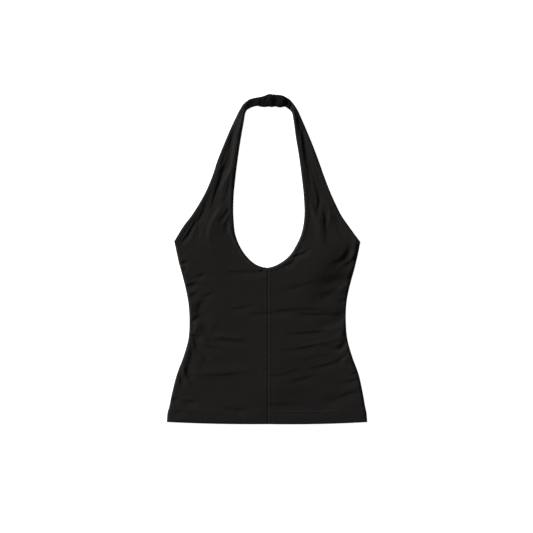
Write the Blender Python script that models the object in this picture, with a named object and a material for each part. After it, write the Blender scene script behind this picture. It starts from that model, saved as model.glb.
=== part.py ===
"""Halter neck top in black cotton jersey, laid flat with its front up.

The garment lies on the plane z = 0 with its neck towards +Y. Left and right are as seen from above.
Each cut piece is one object: two front panels that run up into the neck straps, the back, the
gathered neck band and the narrow bindings along the armholes and the neckline.

Sizes and tables are in millimetres. MM turns them into metres when a mesh is made.
"""

import math
from collections import namedtuple

import bpy
import numpy as np

MM = 0.001

# ---------------------------------------------------------------- driving sizes
HEM_WIDTH = 401.2
LENGTH = 659.4
HEM_RISE = 4.6         # how much higher the hem's corners lie than its middle
CLOTH = 1.2            # one layer of jersey with the air in its knit
SEAM_GAP = 0.3         # room between two pieces that are sewn together
MOST_RELIEF = 1.8      # highest fold above the cloth's own thickness and the bust's fullness
LOFT = 0.9             # how far the loosely laid cloth stands off what is under it
LOFT_EDGE = 16.0       # distance from an edge over which that loft comes in
EDGE_HEIGHT = 0.6      # height of a rounded edge, which is full CLOTH this far in
EDGE_ROUND = 0.8
HEM_DEPTH = 26.0       # turned hem, from the fold to its stitches
HEM_STEP = 0.5         # extra thickness of the turned hem, which ends over this distance
HEM_STEP_REACH = 2.5
BINDING_WIDTH = 8.0    # bound armhole and neckline edges
BINDING_SHARE = 0.42   # most of a narrow strap that one binding may cover
BINDING_CLOTH = 1.0
STRIP_SHARES = (0.0, 0.1, 0.5, 1.0)         # columns of an edge strip, as shares of its width
BINDING_HEIGHTS = (0.55, 1.0, 1.0, 0.75)    # the binding's thickness at those columns
ARMHOLE_END = (3.4, 11.0)  # the armhole binding's cut end: how far it runs in and down from the point
NECKLINE_END = (1.2, 8.4)  # the neckline binding's cut end, beside the centre seam
CENTRE_X = 1.4         # centre front seam
SEAM_PINCH = 0.7       # how far the centre seam draws the cloth down
SEAM_PINCH_REACH = 7.0
BODY_COLUMNS = 20      # panel columns between the two edge strips
FOLD_END = 0.3         # share of a fold's length over which each end dies away
SMOOTH_ANGLE = 50.0    # edges sharper than this, in degrees, stay sharp

# Back panel: its upper edge is a shallow curve that stays below the front neckline.
BACK_SIDE_Y = 18.0
BACK_DIP = 64.0
BACK_HALF_WIDTH = 180.0
BACK_ROWS = 26
BACK_COLUMNS = 12
STEP_DOWN_START = 2.0  # the front comes down to the ground past the back's upper edge
STEP_DOWN_END = 36.0

# ---------------------------------------------------------------- outline of a front panel
# Each row is one section of the panel, from its outer edge to its inner edge, hem first.
# rows: sections made between this one and the next. bow: sag of the section between its ends.
Station = namedtuple("Station", "name outer_x outer_y inner_x inner_y bow rows outer_corner inner_corner")
LEFT_STATIONS = (
    Station("hem fold", -200.6, -325.0, CENTRE_X, -329.3, -6.2, 3, True, True),
    Station("under hem stitches", -198.2, -302.4, CENTRE_X, -308.0, -5.0, 1, False, False),
    Station("over hem stitches", -197.4, -300.0, CENTRE_X, -305.5, -5.0, 4, False, False),
    Station("low hip", -191.2, -271.8, CENTRE_X, -275.0, -3.0, 6, False, False),
    Station("hip", -180.4, -229.6, CENTRE_X, -230.0, -1.0, 5, False, False),
    Station("high hip", -167.0, -193.6, CENTRE_X, -194.0, 0.0, 5, False, False),
    Station("below waist", -157.2, -157.8, CENTRE_X, -158.0, 0.0, 5, False, False),
    Station("waist", -155.2, -124.0, CENTRE_X, -124.0, 0.0, 4, False, False),
    Station("above waist", -156.6, -94.2, CENTRE_X, -96.0, 0.0, 4, False, False),
    Station("ribs", -162.8, -56.2, CENTRE_X, -66.0, 0.0, 4, False, False),
    Station("under bust", -172.6, -20.4, CENTRE_X, -43.0, 0.0, 2, False, False),
    Station("under the neckline", -176.2, -7.6, CENTRE_X, -31.0, 0.0, 1, False, False),
    Station("foot of the neckline", -177.9, -0.4, CENTRE_X, -16.8, 0.0, 1, False, True),
    Station("under the armhole", -180.5, 11.6, -8.6, -15.3, 0.0, 2, False, False),
    Station("armhole point", -185.4, 36.0, -19.8, -11.4, 0.0, 4, True, False),
    Station("bust", -165.6, 68.2, -43.2, 8.4, 0.0, 3, False, False),
    Station("upper bust", -150.2, 88.2, -55.6, 28.2, 0.0, 3, False, False),
    Station("top of bust", -137.2, 108.2, -63.2, 48.2, 0.0, 4, False, False),
    Station("strap foot", -120.8, 138.2, -67.4, 84.0, 0.0, 4, False, False),
    Station("low strap", -108.4, 168.2, -67.2, 124.0, 0.0, 4, False, False),
    Station("strap", -98.6, 198.2, -63.2, 166.0, 0.0, 4, False, False),
    Station("high strap", -86.6, 228.2, -57.8, 208.0, 0.0, 4, False, False),
    Station("narrow strap", -74.0, 258.2, -51.8, 247.0, 0.0, 3, False, False),
    Station("strap shoulder", -62.4, 283.2, -46.0, 279.0, 0.0, 2, False, False),
    Station("strap turn", -54.8, 298.4, -43.6, 292.2, 0.0, 2, False, False),
    Station("strap end turn", -45.8, 312.0, -41.0, 298.0, 0.0, 2, False, False),
    Station("strap end", -35.6, 320.0, -31.0, 304.2, 0.0, 0, True, True),
)
RIGHT_STATIONS = (
    Station("hem fold", 200.6, -325.2, CENTRE_X, -329.3, -7.4, 3, True, True),
    Station("under hem stitches", 198.4, -302.6, CENTRE_X, -308.0, -5.0, 1, False, False),
    Station("over hem stitches", 197.8, -300.2, CENTRE_X, -305.5, -5.0, 4, False, False),
    Station("low hip", 192.6, -271.8, CENTRE_X, -275.0, -3.0, 6, False, False),
    Station("hip", 183.4, -229.8, CENTRE_X, -230.0, -1.0, 5, False, False),
    Station("high hip", 170.4, -193.8, CENTRE_X, -194.0, 0.0, 5, False, False),
    Station("below waist", 160.6, -157.8, CENTRE_X, -158.0, 0.0, 5, False, False),
    Station("waist", 157.8, -124.0, CENTRE_X, -124.0, 0.0, 4, False, False),
    Station("above waist", 158.4, -94.0, CENTRE_X, -96.0, 0.0, 4, False, False),
    Station("ribs", 164.4, -56.0, CENTRE_X, -66.0, 0.0, 4, False, False),
    Station("under bust", 174.6, -20.2, CENTRE_X, -43.0, 0.0, 2, False, False),
    Station("under the neckline", 177.8, -7.4, CENTRE_X, -31.0, 0.0, 1, False, False),
    Station("foot of the neckline", 179.3, -0.8, CENTRE_X, -16.8, 0.0, 1, False, True),
    Station("under the armhole", 182.2, 11.4, 9.8, -14.9, 0.0, 2, False, False),
    Station("armhole point", 186.6, 34.2, 19.8, -11.0, 0.0, 4, True, False),
    Station("bust", 161.8, 68.2, 45.8, 8.2, 0.0, 3, False, False),
    Station("upper bust", 148.2, 88.2, 58.8, 28.2, 0.0, 3, False, False),
    Station("top of bust", 138.0, 108.2, 68.0, 48.0, 0.0, 4, False, False),
    Station("strap foot", 124.6, 138.2, 74.8, 84.0, 0.0, 4, False, False),
    Station("low strap", 113.2, 168.2, 74.0, 124.0, 0.0, 4, False, False),
    Station("strap", 102.6, 198.2, 69.6, 166.0, 0.0, 4, False, False),
    Station("high strap", 91.2, 228.2, 64.0, 208.0, 0.0, 4, False, False),
    Station("narrow strap", 78.8, 258.2, 57.6, 247.0, 0.0, 3, False, False),
    Station("strap shoulder", 68.0, 283.2, 53.0, 279.0, 0.0, 2, False, False),
    Station("strap turn", 61.2, 298.4, 49.4, 294.4, 0.0, 2, False, False),
    Station("strap end turn", 52.6, 311.2, 45.6, 299.0, 0.0, 2, False, False),
    Station("strap end", 44.4, 320.8, 39.4, 303.6, 0.0, 0, True, True),
)
NECKLINE_FOOT = 12     # station where the centre seam ends and the neckline begins
ARMHOLE_POINT = 14     # station where the side seam ends and the armhole begins

# ---------------------------------------------------------------- folds
# A fold runs through its points. lift is its height, below 0 for a trough, and spread its half width.
Fold = namedtuple("Fold", "name lift spread points")
FOLDS = (
    Fold("left strap, long trough", -1.1, 4.0, ((-78, 204), (-87, 182), (-99, 142), (-111, 98))),
    Fold("left strap, ridge by the neckline", 0.8, 4.5, ((-44, 306), (-55, 262), (-65, 206), (-84, 156))),
    Fold("left bust, trough below the strap", -0.9, 5.0, ((-122, 112), (-132, 84), (-136, 56))),
    Fold("left bust, ridge beside it", 0.6, 5.0, ((-116, 112), (-127, 82), (-130, 58))),
    Fold("left armhole, trough", -0.9, 5.0, ((-139, 80), (-150, 62), (-166, 36))),
    Fold("left armhole, ridge", 0.6, 5.0, ((-131, 78), (-146, 48), (-158, 28))),
    Fold("left bust, middle trough", -0.7, 4.5, ((-74, 104), (-88, 85), (-97, 72))),
    Fold("left bust, middle ridge", 0.7, 6.0, ((-98, 94), (-110, 70), (-114, 46))),
    Fold("left bust, inner trough", -0.6, 5.0, ((-77, 86), (-85, 62), (-87, 40))),
    Fold("left bust, ridge by the neckline", 0.5, 5.0, ((-73, 100), (-74, 70), (-68, 40))),
    Fold("left strap end, turned fold", -1.0, 3.0, ((-42, 316), (-36, 309), (-31, 303))),
    Fold("right strap, inner trough", -1.1, 3.5, ((70, 274), (76, 222), (82, 178), (88, 132))),
    Fold("right strap, ridge", 0.6, 4.0, ((68, 262), (80, 214), (89, 168), (97, 122))),
    Fold("right strap, outer trough", -0.9, 3.8, ((86, 200), (96, 160), (104, 118), (99, 94))),
    Fold("right strap, outer ridge", 0.6, 4.0, ((80, 246), (100, 170), (113, 122), (118, 96))),
    Fold("right bust, trough", -0.9, 4.5, ((114, 98), (118, 76), (119, 48))),
    Fold("right bust, ridge", 0.7, 7.0, ((101, 94), (107, 62), (108, 34))),
    Fold("right bust, outer trough", -0.5, 4.0, ((137, 68), (149, 45))),
    Fold("right side, fold under the bust", -1.0, 6.0, ((168, 24), (152, -1), (132, -8))),
    Fold("right side, second fold", -0.9, 5.0, ((180, 6), (166, -7), (150, -15))),
    Fold("right side, ridge at the armhole", 0.7, 5.0, ((176, 42), (175, 20), (171, 0))),
    Fold("right side, dip under the armhole", -0.8, 6.0, ((178, -18), (171, -31), (165, -46))),
    Fold("right side, broad hollow", -0.5, 22.0, ((150, -10), (110, -34), (106, -70))),
    Fold("right neckline, short fold", -0.4, 4.0, ((76, 15), (57, 8))),
    Fold("crease below the neckline", -0.6, 4.5, ((-72, -26), (-34, -26), (-8, -21))),
    Fold("long crease over the waist", -0.9, 7.0, ((-40, -100), (10, -107), (68, -109), (152, -108))),
    Fold("long ridge over the waist", 0.6, 8.0, ((-20, -92), (60, -96), (150, -94))),
    Fold("left crease at the ribs", -0.6, 6.0, ((-56, -98), (-24, -94))),
    Fold("left crease at the waist", -0.6, 5.5, ((-108, -157), (-72, -164), (-34, -168))),
    Fold("left ridge at the waist", 0.5, 7.0, ((-120, -134), (-80, -148), (-50, -152))),
    Fold("right crease at the waist", -0.7, 6.5, ((42, -151), (80, -147), (118, -145))),
    Fold("right long crease below the waist", -0.8, 6.5, ((28, -179), (104, -171), (152, -163))),
    Fold("right ridge below the waist", 0.5, 7.0, ((40, -165), (100, -159), (150, -152))),
    Fold("right crease at the hip", -0.9, 6.5, ((90, -220), (135, -207), (160, -194))),
    Fold("left crease at the hip", -0.5, 6.0, ((-142, -236), (-101, -234), (-52, -229))),
    Fold("middle crease at the hip", -0.7, 7.0, ((8, -236), (50, -228), (92, -237), (22, -244))),
    Fold("right low crease", -0.7, 7.0, ((120, -277), (152, -270), (186, -261))),
    Fold("left low crease", -0.5, 7.0, ((-166, -284), (-130, -284))),
    Fold("left side, slanting fold", -0.8, 6.0, ((-152, -150), (-141, -171), (-134, -192))),
    Fold("left side, upper pucker", -0.8, 5.0, ((-168, -58), (-154, -53), (-140, -50))),
    Fold("left side, middle pucker", -0.8, 6.0, ((-120, -84), (-134, -94), (-134, -108), (-143, -121))),
    Fold("left side, knuckle at the waist", 0.8, 5.0, ((-149, -122), (-146, -135), (-149, -149))),
    Fold("left side, low pucker", -0.7, 5.0, ((-163, -204), (-158, -222), (-156, -240))),
    Fold("right side, upper pucker", -0.8, 5.0, ((166, -78), (148, -83))),
    Fold("right side, deep fold at the waist", -1.1, 8.0, ((104, -132), (140, -124), (158, -106))),
    Fold("right side, low pucker", -0.8, 6.0, ((130, -181), (148, -177), (162, -159))),
)

# The fullness of the bust is a wide rise. It is steeper on the side where the cloth falls away.
Swell = namedtuple("Swell", "name x y radius_away radius_near radius_across lift")
SWELLS = (
    Swell("right bust", 99.0, -12.0, 48.0, 100.0, 64.0, 4.4),
    Swell("left bust", -112.0, 34.0, 50.0, 46.0, 50.0, 1.0),
)
AWAY = math.radians(-40.0)  # direction in which the cloth falls from a swell
SWELL_EDGE = 40.0      # distance from an edge over which a swell comes in

# ---------------------------------------------------------------- neck band
# Sections of the gathered casing: its lower and upper edge, which slant near the strap ends.
BandSection = namedtuple("BandSection", "low_x low_y high_x high_y height")
BAND_SECTIONS = (
    BandSection(-30.3, 304.4, -35.2, 319.9, 2.4),
    BandSection(-20.2, 306.8, -22.0, 323.8, 3.4),
    BandSection(-10.0, 304.8, -11.0, 325.7, 4.0),
    BandSection(-4.0, 304.6, -4.6, 327.8, 4.4),
    BandSection(4.0, 305.4, 3.0, 330.5, 4.6),
    BandSection(10.5, 304.4, 9.5, 330.2, 4.8),
    BandSection(16.0, 305.6, 17.0, 329.9, 4.6),
    BandSection(24.2, 303.8, 25.0, 329.0, 4.6),
    BandSection(29.5, 304.2, 31.0, 327.6, 4.2),
    BandSection(35.0, 305.2, 38.0, 324.4, 3.6),
    BandSection(38.8, 303.9, 43.9, 320.4, 2.6),
)
BAND_ROWS = 5          # sections made between two of the table
BAND_COLUMNS = 9
BAND_EDGE = 0.8        # height of the band's long edges
FULL_GATHER = 4.0      # height of band from which the gathers have their full depth
Gather = namedtuple("Gather", "at lift spread")
GATHERS = (
    Gather(-26.0, -0.5, 2.0),
    Gather(-18.0, -0.5, 2.0),
    Gather(-12.0, 0.4, 2.4),
    Gather(-6.5, -0.8, 2.0),
    Gather(-1.0, 0.4, 2.2),
    Gather(4.0, -0.6, 1.8),
    Gather(10.5, -0.4, 1.8),
    Gather(17.5, -0.9, 2.0),
    Gather(23.5, 0.4, 2.2),
    Gather(30.5, -0.5, 1.8),
    Gather(36.0, -0.6, 1.8),
)

# ---------------------------------------------------------------- cloth colours
Finish = namedtuple("Finish", "color roughness metallic")
FINISHES = {
    "front_left": Finish((0.0127, 0.0115, 0.0107, 1.0), 0.88, 0.0),
    "front_right": Finish((0.0127, 0.0115, 0.0107, 1.0), 0.88, 0.0),
    "back": Finish((0.0121, 0.0111, 0.0103, 1.0), 0.88, 0.0),
    "neck_band": Finish((0.0038, 0.0035, 0.0033, 1.0), 0.9, 0.0),
    "armhole_binding_left": Finish((0.0135, 0.0123, 0.0115, 1.0), 0.86, 0.0),
    "armhole_binding_right": Finish((0.0135, 0.0123, 0.0115, 1.0), 0.86, 0.0),
    "neckline_binding_left": Finish((0.0135, 0.0123, 0.0115, 1.0), 0.86, 0.0),
    "neckline_binding_right": Finish((0.0135, 0.0123, 0.0115, 1.0), 0.86, 0.0),
}


def clear_scene():
    for obj in list(bpy.data.objects):
        bpy.data.objects.remove(obj, do_unlink=True)


def smooth_step(value, start, end):
    """0 before start, 1 after end, and a smooth rise between them."""
    share = np.clip((value - start) / (end - start), 0.0, 1.0)
    return share * share * (3.0 - 2.0 * share)


# ---------------------------------------------------------------- smooth edges through the stations
def tangents(points, corners):
    """The direction of travel at each point: one on each side of it, which differ at a corner."""
    steps = np.diff(points, axis=0)
    lengths = np.linalg.norm(steps, axis=1)
    slopes = steps / lengths[:, None]
    before = np.vstack([slopes[:1], slopes])
    after = np.vstack([slopes, slopes[-1:]])
    for i in range(1, len(points) - 1):
        if not corners[i]:
            weight = lengths[i] / (lengths[i - 1] + lengths[i])
            mean = weight * slopes[i - 1] + (1.0 - weight) * slopes[i]
            before[i] = mean
            after[i] = mean
    return before, after, lengths


def smooth_path(points, corners, rows):
    """Points of a Hermite curve through the given ones, with rows[i] steps from point i to the next."""
    points = np.array(points, float)
    before, after, lengths = tangents(points, corners)
    path = []
    for i, count in enumerate(rows[:-1]):
        for step in range(count):
            t = step / count
            start, end = points[i], points[i + 1]
            leave, arrive = after[i] * lengths[i], before[i + 1] * lengths[i]
            path.append(
                (2 * t**3 - 3 * t**2 + 1) * start
                + (t**3 - 2 * t**2 + t) * leave
                + (3 * t**2 - 2 * t**3) * end
                + (t**3 - t**2) * arrive
            )
    path.append(points[-1])
    return np.array(path)


def panel_edges(stations):
    """The outer edge, the inner edge and the bow of each section of a panel."""
    rows = [station.rows for station in stations]
    outer = smooth_path(
        [(s.outer_x, s.outer_y) for s in stations], [s.outer_corner for s in stations], rows
    )
    inner = smooth_path(
        [(s.inner_x, s.inner_y) for s in stations], [s.inner_corner for s in stations], rows
    )
    bow = smooth_path([(s.bow, i) for i, s in enumerate(stations)], [True] * len(stations), rows)[:, 0]
    return outer, inner, bow


def row_of_station(stations, index):
    return sum(station.rows for station in stations[:index])


# ---------------------------------------------------------------- heights
def fold_relief(x, y, fold):
    """Height that one fold adds: a soft ridge or trough along its points, dying away at both ends."""
    points = np.array(fold.points, float)
    legs = np.diff(points, axis=0)
    lengths = np.linalg.norm(legs, axis=1)
    passed = np.concatenate([[0.0], np.cumsum(lengths)])
    nearest = np.full(x.shape, np.inf)
    along = np.zeros(x.shape)
    for start, leg, length, before in zip(points, legs, lengths, passed):
        share = np.clip(((x - start[0]) * leg[0] + (y - start[1]) * leg[1]) / length**2, 0.0, 1.0)
        distance = np.hypot(x - start[0] - share * leg[0], y - start[1] - share * leg[1])
        closer = distance < nearest
        nearest = np.where(closer, distance, nearest)
        along = np.where(closer, (before + share * length) / passed[-1], along)
    ends = smooth_step(along, -FOLD_END / 2, FOLD_END) * smooth_step(1.0 - along, -FOLD_END / 2, FOLD_END)
    return fold.lift * ends * np.exp(-((nearest / fold.spread) ** 2))


def swell_relief(x, y, swell):
    """Height of one rounded rise."""
    down = (x - swell.x) * math.cos(AWAY) + (y - swell.y) * math.sin(AWAY)
    across = (y - swell.y) * math.cos(AWAY) - (x - swell.x) * math.sin(AWAY)
    radius = np.where(down > 0.0, swell.radius_away, swell.radius_near)
    return swell.lift * np.exp(-((down / radius) ** 2) - (across / swell.radius_across) ** 2)


def back_top_y(x):
    """Upper edge of the back panel."""
    return BACK_SIDE_Y - BACK_DIP * (1.0 - (x / BACK_HALF_WIDTH) ** 2)


def ground_under_front(x, y):
    """What the front lies on: the back panel, and past its upper edge the ground."""
    past = y - back_top_y(x)
    return (CLOTH + SEAM_GAP) * (1.0 - smooth_step(past, STEP_DOWN_START, STEP_DOWN_END))


def front_top(x, y, edge_distance, seam_distance, above_hem):
    """Upper surface of a front panel."""
    loft = LOFT * smooth_step(edge_distance, 0.0, LOFT_EDGE)
    relief = loft + sum(fold_relief(x, y, fold) for fold in FOLDS)
    relief = relief - SEAM_PINCH * np.exp(-((seam_distance / SEAM_PINCH_REACH) ** 2))
    relief = relief + HEM_STEP * (1.0 - smooth_step(above_hem - HEM_DEPTH, -1.0, HEM_STEP_REACH - 1.0))
    swell = sum(swell_relief(x, y, swell) for swell in SWELLS) * smooth_step(edge_distance, 0.0, SWELL_EDGE)
    relief = np.clip(relief, 0.0, MOST_RELIEF) + swell
    rounded = smooth_step(edge_distance, -EDGE_ROUND / 2, EDGE_ROUND)
    thickness = EDGE_HEIGHT + (CLOTH - EDGE_HEIGHT + relief) * rounded
    return ground_under_front(x, y) + thickness


# ---------------------------------------------------------------- meshes
def creased_diagonals(top):
    """For each cell of a grid, whether its diagonal from corner 1 to corner 3 lies flatter than the other."""
    z = top[:, :, 2]
    first = np.abs(z[:-1, :-1] - z[1:, 1:])
    second = np.abs(z[:-1, 1:] - z[1:, :-1])
    return second < first - 1e-6


def grid_faces(diagonals, first, upwards):
    """Triangles of a grid of points, whose numbers start at first. Each diagonal follows the folds."""
    faces = []
    columns = diagonals.shape[1] + 1
    for (row, column), other in np.ndenumerate(diagonals):
        a = first + row * columns + column
        b, c, d = a + 1, a + columns + 1, a + columns
        pair = ((a, b, d), (b, c, d)) if other else ((a, b, c), (a, c, d))
        faces.extend(pair if upwards else (triangle[::-1] for triangle in pair))
    return faces


def rim_of(rows, columns):
    """Point numbers round the edge of a grid, in order."""
    rim = list(range(columns))
    rim += [row * columns + columns - 1 for row in range(1, rows)]
    rim += [(rows - 1) * columns + column for column in range(columns - 2, -1, -1)]
    rim += [row * columns for row in range(rows - 2, 0, -1)]
    return rim


def wall(name, top, bottom, diagonals, collection):
    """A closed wall of cloth between an upper and a lower grid of points, in millimetres."""
    rows, columns = top.shape[:2]
    count = rows * columns
    across = top[0, -1, :2] - top[0, 0, :2]
    along = top[-1, 0, :2] - top[0, 0, :2]
    upwards = across[0] * along[1] - across[1] * along[0] > 0
    points = np.vstack([top.reshape(-1, 3), bottom.reshape(-1, 3)]) * MM
    faces = grid_faces(diagonals, 0, upwards) + grid_faces(diagonals, count, not upwards)
    rim = rim_of(rows, columns)
    for a, b in zip(rim, rim[1:] + rim[:1]):
        quad = (a, a + count, b + count, b)
        faces.append(quad if upwards else quad[::-1])
    mesh = bpy.data.meshes.new(name)
    mesh.from_pydata(points.tolist(), [], faces)
    mesh.validate()
    mesh.shade_smooth()
    mesh.set_sharp_from_angle(angle=math.radians(SMOOTH_ANGLE))
    obj = bpy.data.objects.new(name, mesh)
    collection.objects.link(obj)
    mesh.materials.append(material_for(name))
    return obj


def material_for(name):
    finish = FINISHES[name]
    material = bpy.data.materials.new(name + "_cloth")
    material.use_nodes = True
    shader = material.node_tree.nodes["Principled BSDF"]
    shader.inputs["Base Color"].default_value = finish.color
    shader.inputs["Roughness"].default_value = finish.roughness
    shader.inputs["Metallic"].default_value = finish.metallic
    material.diffuse_color = finish.color
    return material


# ---------------------------------------------------------------- pieces
def into_panel(edge, first, width, towards, end):
    """How an edge strip runs into the panel at each row: along the row up to the row numbered first,
    whose strip is the binding's cut end, and square to the edge from there to the strap's end."""
    lead = towards * width[:, None]
    bound = edge[first:-1]
    travel = np.gradient(bound, axis=0)
    normal = np.column_stack([-travel[:, 1], travel[:, 0]]) / np.linalg.norm(travel, axis=1)[:, None]
    normal *= -math.copysign(1.0, towards[first, 0])
    lead[first:-1] = normal * width[first:-1, None]
    lead[first] = math.copysign(end[0], towards[first, 0]), -end[1]
    return lead


def panel_grid(stations):
    """Upper and lower points of a front panel. Its first and last 4 columns carry the bindings."""
    outer, inner, bow = panel_edges(stations)
    length = np.linalg.norm(inner - outer, axis=1)
    towards = (inner - outer) / length[:, None]
    width = np.minimum(BINDING_WIDTH, BINDING_SHARE * length)
    armhole_row = row_of_station(stations, ARMHOLE_POINT)
    neckline_row = row_of_station(stations, NECKLINE_FOOT)
    lead = into_panel(outer, armhole_row, width, towards, ARMHOLE_END)
    back_lead = into_panel(inner, neckline_row, width, -towards, NECKLINE_END)
    inner[: neckline_row + 1, 0] -= math.copysign(SEAM_GAP / 2, towards[0, 0])
    shares = np.array(STRIP_SHARES)
    near = outer[:, None] + lead[:, None] * shares[:, None]
    far = inner[:, None] + back_lead[:, None] * shares[::-1, None]
    along = np.linspace(0.0, 1.0, BODY_COLUMNS + 2)[1:-1]
    span = far[:, 0] - near[:, -1]
    middle = near[:, -1:] + span[:, None] * along[:, None]
    grid = np.concatenate([near, middle, far], axis=1)
    share = ((grid - outer[:, None]) * towards[:, None]).sum(axis=2) / length[:, None]
    grid[:, :, 1] += bow[:, None] * share * (1.0 - share)

    middle_length = np.linalg.norm(span, axis=1)[:, None]
    strip = width[:, None] * shares
    from_outer = np.hstack([strip, width[:, None] + middle_length * along])
    from_inner = np.hstack([width[:, None] + middle_length * (1.0 - along), strip[:, ::-1]])
    edge_distance = np.hstack([
        from_outer[:, :4],
        np.minimum(from_outer[:, 4:], from_inner[:, :-4]),
        from_inner[:, -4:],
    ])
    x, y = grid[:, :, 0], grid[:, :, 1]
    above_hem = np.maximum(y - y[0], 0.0)
    edge_distance = np.minimum(edge_distance, above_hem)
    seam_distance = np.where(y < stations[NECKLINE_FOOT].inner_y, np.abs(x - CENTRE_X), 1000.0)
    height = front_top(x, y, edge_distance, seam_distance, above_hem)
    return np.dstack([x, y, height]), np.dstack([x, y, ground_under_front(x, y)])


def binding_on(name, panel_top, diagonals, first_row, outer_side, collection):
    """A strip of doubled cloth over one edge of a panel, made from the panel's own upper points."""
    count = len(STRIP_SHARES)
    columns = slice(0, count) if outer_side else slice(-count, None)
    cells = slice(0, count - 1) if outer_side else slice(1 - count, None)
    lower = panel_top[first_row:, columns].copy()
    lower[:, :, 2] += SEAM_GAP
    upper = lower.copy()
    heights = np.array(BINDING_HEIGHTS) * BINDING_CLOTH
    upper[:, :, 2] += heights if outer_side else heights[::-1]
    return wall(name, upper, lower, diagonals[first_row:, cells], collection)


def back_grid():
    """Upper and lower points of the back, flat on both sides."""
    edges = []
    for stations in (LEFT_STATIONS, RIGHT_STATIONS):
        outer = panel_edges(stations)[0]
        side = outer[: row_of_station(stations, ARMHOLE_POINT) + 1]
        heights = np.linspace(side[0, 1], BACK_SIDE_Y, BACK_ROWS)
        edges.append(np.column_stack([np.interp(heights, side[:, 1], side[:, 0]), heights]))
    rise = np.linspace(0.0, 1.0, BACK_ROWS)
    share = np.linspace(0.0, 1.0, BACK_COLUMNS)
    x = edges[0][:, :1] + (edges[1][:, :1] - edges[0][:, :1]) * share
    hem_y = -LENGTH / 2 + HEM_RISE * (2.0 * x / HEM_WIDTH) ** 2
    y = hem_y + (back_top_y(x) - hem_y) * rise[:, None]
    top = np.dstack([x, y, np.full(x.shape, CLOTH)])
    bottom = np.dstack([x, y, np.zeros(x.shape)])
    return top, bottom


def band_grid():
    """Upper and lower points of the neck band: a low dome with gathers across it."""
    rows = [BAND_ROWS] * (len(BAND_SECTIONS) - 1) + [0]
    plain = [False] * len(BAND_SECTIONS)
    low = smooth_path([(s.low_x, s.low_y) for s in BAND_SECTIONS], plain, rows)
    high = smooth_path([(s.high_x, s.high_y) for s in BAND_SECTIONS], plain, rows)
    height = smooth_path([(s.low_x, s.height) for s in BAND_SECTIONS], plain, rows)[:, 1:]
    share = 0.5 - 0.5 * np.cos(np.linspace(0.0, math.pi, BAND_COLUMNS))
    x = low[:, :1] + (high[:, :1] - low[:, :1]) * share
    y = low[:, 1:] + (high[:, 1:] - low[:, 1:]) * share
    dome = np.sqrt(np.clip(1.0 - (2.0 * share - 1.0) ** 2, 0.0, 1.0))
    gathers = sum(g.lift * np.exp(-(((x - g.at) / g.spread) ** 2)) for g in GATHERS)
    z = BAND_EDGE + (height - BAND_EDGE + gathers * np.minimum(1.0, height / FULL_GATHER)) * dome
    top = np.dstack([x, y, np.maximum(z, BAND_EDGE)])
    bottom = np.dstack([x, y, np.zeros(x.shape)])
    return top, bottom


def build():
    clear_scene()
    collection = bpy.data.collections.new("halter_neck_top")
    bpy.context.scene.collection.children.link(collection)
    for side, stations in (("left", LEFT_STATIONS), ("right", RIGHT_STATIONS)):
        top, bottom = panel_grid(stations)
        diagonals = creased_diagonals(top)
        wall("front_" + side, top, bottom, diagonals, collection)
        armhole_row = row_of_station(stations, ARMHOLE_POINT)
        neckline_row = row_of_station(stations, NECKLINE_FOOT)
        binding_on("armhole_binding_" + side, top, diagonals, armhole_row, True, collection)
        binding_on("neckline_binding_" + side, top, diagonals, neckline_row, False, collection)
    for name, (top, bottom) in (("back", back_grid()), ("neck_band", band_grid())):
        wall(name, top, bottom, creased_diagonals(top), collection)


build()
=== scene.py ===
# %% [markdown]
# # A halter neck top in black jersey, laid flat
#
# The real garment is cut from a thin cotton knit with a little elastane. Two front panels run up into
# the neck straps and are sewn together down the middle. A plain back closes the tube. A short band,
# gathered over elastic, joins the straps behind the neck. Narrow bindings finish the armholes and the
# neckline, and the hem is turned up and stitched.
#
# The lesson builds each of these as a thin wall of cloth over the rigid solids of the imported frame,
# and then gives every wall a knitted material. Sizes in the tables are millimetres.

# %% Load the frame that the cloth has to fit
import math
from collections import namedtuple

import bpy
import numpy as np
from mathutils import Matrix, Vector


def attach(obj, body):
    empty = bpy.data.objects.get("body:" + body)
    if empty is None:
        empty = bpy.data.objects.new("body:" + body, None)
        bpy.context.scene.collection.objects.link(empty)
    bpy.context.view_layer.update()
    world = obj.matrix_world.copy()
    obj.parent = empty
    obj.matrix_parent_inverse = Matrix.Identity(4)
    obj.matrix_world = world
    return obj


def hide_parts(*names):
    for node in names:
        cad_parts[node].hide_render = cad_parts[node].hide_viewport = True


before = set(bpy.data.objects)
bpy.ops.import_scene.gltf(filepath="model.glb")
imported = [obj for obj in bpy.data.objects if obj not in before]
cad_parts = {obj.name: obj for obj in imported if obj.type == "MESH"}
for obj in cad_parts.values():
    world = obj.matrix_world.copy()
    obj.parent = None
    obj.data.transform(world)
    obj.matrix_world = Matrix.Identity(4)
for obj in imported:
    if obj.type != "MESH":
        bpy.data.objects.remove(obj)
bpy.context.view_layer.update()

MM = 0.001
print("CAD nodes:", ", ".join(sorted(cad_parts)))

# %% [markdown]
# ## Camera
#
# A flat lay is seen from straight above. A long lens high over the table keeps the sides of the
# garment from leaning, as a studio column stand does. One pixel of the square picture covers 2 mm.

# %% Camera straight above the table
FRAME_PIXELS = 533
MM_PER_PIXEL = 2.0
LENS_MM = 135.0
SENSOR_MM = 36.0
PICTURE_CENTRE = (-1.0, -14.0)  # where the middle of the picture falls on the table
FAR_CLIP = 100.0      # metres, well past the table

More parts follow.
